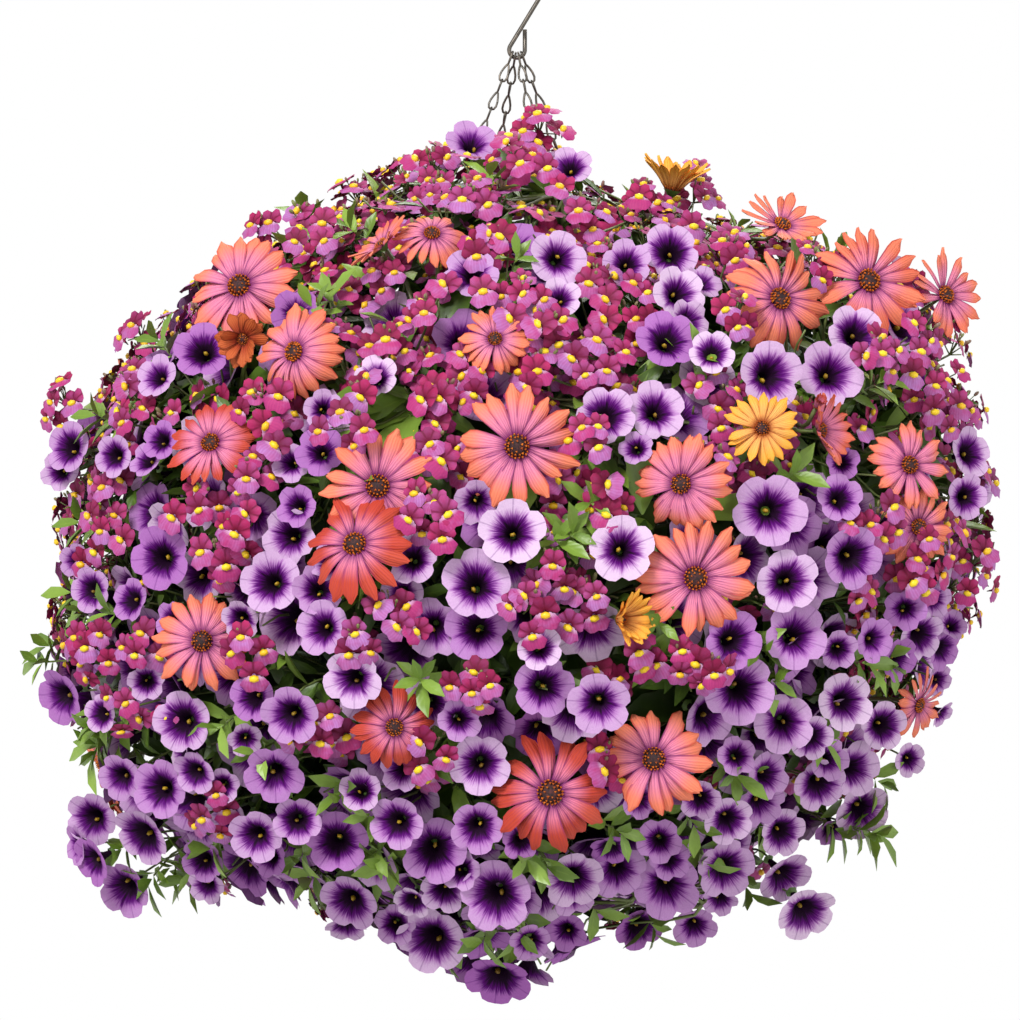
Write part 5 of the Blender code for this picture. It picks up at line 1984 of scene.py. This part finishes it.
@dataclass
class Chain:
    """Jack chain legs: figure-of-eight links with a quarter twist, hooked in one another."""

    layout: ChainLayout
    pitch: float = 0.0168
    width: float = CHAIN_LOOP_WIDTH
    wire: float = 0.00064
    upper_share: float = 0.42
    steps: int = 12
    sides: int = 6

    def link_path(self, length: float) -> list[Vector]:
        """Follow one link's wire, Z down along the chain from the link's top.

        Args:
            length: The link's length.

        Returns:
            Points from the waist round the upper loop and back round the lower one.
        """
        points = []
        waist = length * self.upper_share
        for reach, crossed in ((-waist, True), (length - waist, False)):
            for k in range(self.steps):
                angle = math.tau * k / self.steps
                share = (1 - math.cos(angle)) / 2
                side = self.width / 2 * math.sin(angle) * (0.35 + 0.75 * share)
                across, deep = (0.0, side) if crossed else (side, 0.0)
                points.append(Vector((across, deep, waist + reach * share)))
        return points + [points[0]]

    def build(self) -> None:
        """Build the four legs in place of their solids."""
        for number, word in enumerate(("left", "back", "front", "right")):
            top, bottom = self.layout.ends(number)
            along = (bottom - top).normalized()
            links = round((bottom - top).length / self.pitch)
            pitch = (bottom - top).length / links
            twist = self.twist(number, along)
            deep = square_to(along, Vector((0, 1, 0)))
            bouquet = Bouquet(f"chain_leg_{word}_links")
            for link in range(links):
                turn = Matrix.Rotation(twist * link / (links - 1), 3, along)
                start = top + along * (pitch * link - self.wire)
                path = [
                    start + turn @ (along.cross(deep) * point.x + deep * point.y) + along * point.z
                    for point in self.link_path(pitch + self.wire * 2)
                ]
                bouquet.add_stem(path, (self.wire, self.wire), 0, sides=self.sides)
            stand_in(bouquet.build((WIRE,)), "chain_leg_" + word)

    def twist(self, number: int, along: Vector) -> float:
        """Return the turn between a leg's first link and its last, which hooks in the lug.

        Args:
            number: Index of the leg.
            along: Unit vector down the leg.

        Returns:
            The turn in radians, at most a quarter.
        """
        first = along.cross(square_to(along, Vector((0, 1, 0))))
        last = square_to(along, self.layout.radial(number))
        turn = math.atan2(first.cross(last).dot(along), first.dot(last))
        return turn - math.copysign(math.pi, turn) if abs(turn) > math.pi / 2 else turn


@dataclass
class Pot:
    """The moulded hanging pot, its lugs and its soil."""

    layout: ChainLayout
    rim_radius: float = 0.115
    floor_radius: float = 0.080
    wall: float = 0.0022
    lip: float = 0.005
    lip_drop: float = 0.012
    steps: int = 96
    lug_size: tuple[float, float, float] = (0.003, 0.014, 0.0172)
    lug_drop: float = 0.0029
    lug_hole: tuple[float, float] = (0.0032, 0.006)
    drain_hole: tuple[float, float] = (0.005, 0.012)
    drain_ring: float = 0.055
    drains: int = 4
    crumb: float = 0.0012
    crown: float = 0.004

    def profile(self) -> list[tuple[float, float]]:
        """Return the wall's outline from the inner floor round the lip to the outer floor.

        Returns:
            Radius and height of each corner.
        """
        rim = POT_RIM_Z
        low = POT_FLOOR_Z
        inner = self.rim_radius - self.wall
        outer = self.rim_radius + self.lip
        return [
            (0.0, low + self.wall), (self.floor_radius - self.wall, low + self.wall),
            (inner, rim - 0.0008), (inner + 0.0008, rim),
            (outer - 0.0012, rim), (outer - 0.0004, rim - 0.0004), (outer, rim - 0.0012),
            (outer, rim - self.lip_drop), (self.rim_radius - self.wall / 2, rim - self.lip_drop),
            (self.floor_radius + 0.001, low + 0.003), (self.floor_radius - 0.002, low), (0.0, low),
        ]

    def build_shell(self) -> bpy.types.Object:
        """Spin the wall's outline into the pot, with lugs and drain holes.

        Returns:
            The pot.
        """
        thing = primitive(bpy.ops.mesh.primitive_plane_add, size=1)
        thing.name = "pot_shell"
        outline = self.profile()
        edges = [(k, k + 1) for k in range(len(outline) - 1)]
        thing.data = bpy.data.meshes.new("pot_shell")
        thing.data.from_pydata([(x, 0, z) for x, z in outline], edges, [])
        spin = {"angle": math.tau, "center": (0, 0, 0), "axis": (0, 0, 1)}
        edit_all(
            lambda: bpy.ops.mesh.spin(steps=self.steps, **spin),
            lambda: bpy.ops.mesh.select_all(action="SELECT"),
            lambda: bpy.ops.mesh.remove_doubles(threshold=0.00005),
            outside_out,
        )
        for number in range(len(LEG_ANGLES)):
            place = self.lug_matrix(number)
            self.join(thing, self.lug(place), "UNION")
            self.bore(thing, place @ Matrix.Rotation(math.pi / 2, 4, "Y"), self.lug_hole)
        for number in range(self.drains):
            turn = Matrix.Rotation(math.tau * (number + 0.5) / self.drains, 4, "Z")
            spot = Matrix.Translation((self.drain_ring, 0, POT_FLOOR_Z))
            self.bore(thing, turn @ spot, self.drain_hole)
        return self.dressed(thing, SOLID_EDGE, MOULDED)

    def dressed(self, thing: bpy.types.Object, edge: float, finish: Finish) -> bpy.types.Object:
        """Smooth an object up to an edge angle in degrees and give it a finish.

        Args:
            thing: The object.
            edge: The angle.
            finish: The finish.

        Returns:
            The object.
        """
        bpy.context.view_layer.objects.active = thing
        thing.select_set(True)
        bpy.ops.object.shade_smooth_by_angle(angle=math.radians(edge))
        thing.data.materials.clear()
        thing.data.materials.append(finish.material())
        return thing

    def join(self, thing: bpy.types.Object, tool: bpy.types.Object, operation: str) -> None:
        """Apply a Boolean operation to an object and remove its tool."""
        apply_modifier(thing, "BOOLEAN", object=tool, operation=operation, solver="EXACT")
        bpy.data.objects.remove(tool)

    def bore(self, thing: bpy.types.Object, place: Matrix, size: tuple[float, float]) -> None:
        """Bore a round hole.

        Args:
            thing: The object that is bored.
            place: The hole's matrix, its axis on Z.
            size: Its radius and its depth.
        """
        tool = primitive(
            bpy.ops.mesh.primitive_cylinder_add, vertices=24, radius=size[0], depth=size[1],
        )
        tool.data.transform(place)
        self.join(thing, tool, "DIFFERENCE")

    def lug_matrix(self, number: int) -> Matrix:
        """Return a lug's matrix: its hole at the origin and bored along X, Z up along the leg.

        Args:
            number: The leg's number.

        Returns:
            The matrix.
        """
        top, bottom = self.layout.ends(number)
        up = (top - bottom).normalized()
        across = square_to(up, self.layout.radial(number))
        return sides_matrix(across, up.cross(across), up, bottom - up * BAR_RISE)

    def lug(self, place: Matrix) -> bpy.types.Object:
        """Return a bevelled lug.

        Args:
            place: Its matrix.

        Returns:
            The object.
        """
        thing = primitive(bpy.ops.mesh.primitive_cube_add, size=1)
        drop = Matrix.Translation((0, 0, -self.lug_drop))
        thing.data.transform(place @ drop @ Matrix.Diagonal((*self.lug_size, 1.0)))
        apply_modifier(thing, "BEVEL", width=0.0007, segments=2)
        return thing

    def build_soil(self) -> bpy.types.Object:
        """Build crumbly compost that fills the pot.

        Returns:
            The compost.
        """
        thing = primitive(
            bpy.ops.mesh.primitive_cylinder_add, vertices=72, radius=1.0, depth=1.0,
            end_fill_type="TRIFAN",
        )
        thing.name = "compost"
        edit_all(lambda: bpy.ops.mesh.subdivide(number_cuts=3))
        low = POT_FLOOR_Z + self.wall + CLEARANCE
        draw = random.Random(5)
        for vert in thing.data.vertices:
            share = vert.co.z + 0.5
            top = share > 0.99
            height = low + (SOIL_Z - low) * share
            wall = (height - POT_FLOOR_Z) / (POT_RIM_Z - POT_FLOOR_Z)
            radius = self.floor_radius + (self.rim_radius - self.floor_radius) * wall - self.wall
            flat = math.hypot(vert.co.x, vert.co.y)
            crumb = draw.uniform(-self.crumb, self.crumb) if top and flat < 0.97 else 0.0
            crown = self.crown * (1 - flat * flat) if top else 0.0
            vert.co.x *= radius - CLEARANCE * 3
            vert.co.y *= radius - CLEARANCE * 3
            vert.co.z = height + crumb + crown
        return self.dressed(thing, SOIL_EDGE, COMPOST)

    def build(self) -> None:
        """Build the pot and the soil in place of their solids."""
        stand_in(self.build_shell(), "hanging_pot")
        stand_in(self.build_soil(), "soil")


@dataclass
class Studio:
    """Pale floor, white surroundings that are dimmer above and below, soft lights and camera."""

    ball: Ball
    floor_z: float = -4.5
    floor_radius: float = 10.0
    white_band: tuple[float, float] = (0.30, 0.60)
    dim: float = 0.30
    sensor: float = 36.0
    view_size: float = 1020.0

    def build(self) -> None:
        """Build the floor, the surroundings, the lights and the camera."""
        self.build_floor()
        self.build_world()
        self.add_light("key", (-1.0, -2.4, 1.6), 0.9, 90.0)
        self.add_light("fill", (2.2, -1.6, 0.0), 2.0, 16.0)
        self.add_light("back", (0.4, 1.7, 1.8), 1.8, 60.0)
        self.add_camera()

    def build_floor(self) -> None:
        """Build the round floor."""
        size = {"vertices": 128, "radius": self.floor_radius, "fill_type": "NGON"}
        floor = primitive(
            bpy.ops.mesh.primitive_circle_add, location=(0, 0, self.floor_z), **size,
        )
        floor.name = "studio_floor"
        bpy.ops.object.transform_apply(location=True)
        paper = PlainFinish("studio_paper", shade(250, 250, 250), shade(244, 244, 244), 0.9, 2.0)
        floor.data.materials.append(paper.material())

    def build_world(self) -> None:
        """Make the surroundings white round the horizon and dimmer above and below."""
        world = bpy.data.worlds.new("studio_world")
        world.use_nodes = True
        bpy.context.scene.world = world
        graph = Graph(world.node_tree)
        way = graph.node("ShaderNodeTexCoord", {}, {}, "Generated")
        slope = graph.math("ABSOLUTE", graph.node("ShaderNodeSeparateXYZ", {}, {0: way}, 2))
        light = 1.0 - slope.step(*self.white_band) * (1.0 - self.dim)
        white = {"Color": (1.0, 1.0, 1.0, 1.0), "Strength": light}
        graph.connect(world.node_tree.nodes["Background"], white)
        bpy.context.scene.view_settings.view_transform = "Standard"

    def add_light(
        self, name: str, place: tuple[float, float, float], size: float, power: float,
    ) -> None:
        """Add a soft area light that looks at the ball.

        Args:
            name: Its name.
            place: Where it stands.
            size: Its side.
            power: Its power in watts.
        """
        data = bpy.data.lights.new(name, "AREA")
        data.size = size
        data.energy = power
        light = bpy.data.objects.new(name, data)
        light.location = place
        way = self.ball.centre - Vector(place)
        light.rotation_euler = way.to_track_quat("-Z", "Y").to_euler()
        bpy.context.scene.collection.objects.link(light)

    def add_camera(self) -> None:
        """Add the camera at the flat view's eye."""
        data = bpy.data.cameras.new("camera")
        data.sensor_width = self.sensor
        data.lens = self.sensor * VIEW_DISTANCE / (self.view_size * UNIT)
        data.clip_end = 50.0
        camera = bpy.data.objects.new("camera", data)
        camera.location = self.ball.eye()
        camera.rotation_euler = (math.pi / 2, 0, 0)
        bpy.context.scene.collection.objects.link(camera)
        bpy.context.scene.camera = camera


def main() -> None:
    """Build the basket and its studio."""
    logging.basicConfig(level=logging.INFO, format="%(message)s")
    ball = Ball()
    chains = ChainLayout()
    Hook().build()
    Chain(chains).build()
    Pot(chains).build()
    Garden(Layout(ball, chains), Patterns()).build()
    Studio(ball).build()
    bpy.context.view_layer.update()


if __name__ == "__main__":
    main()
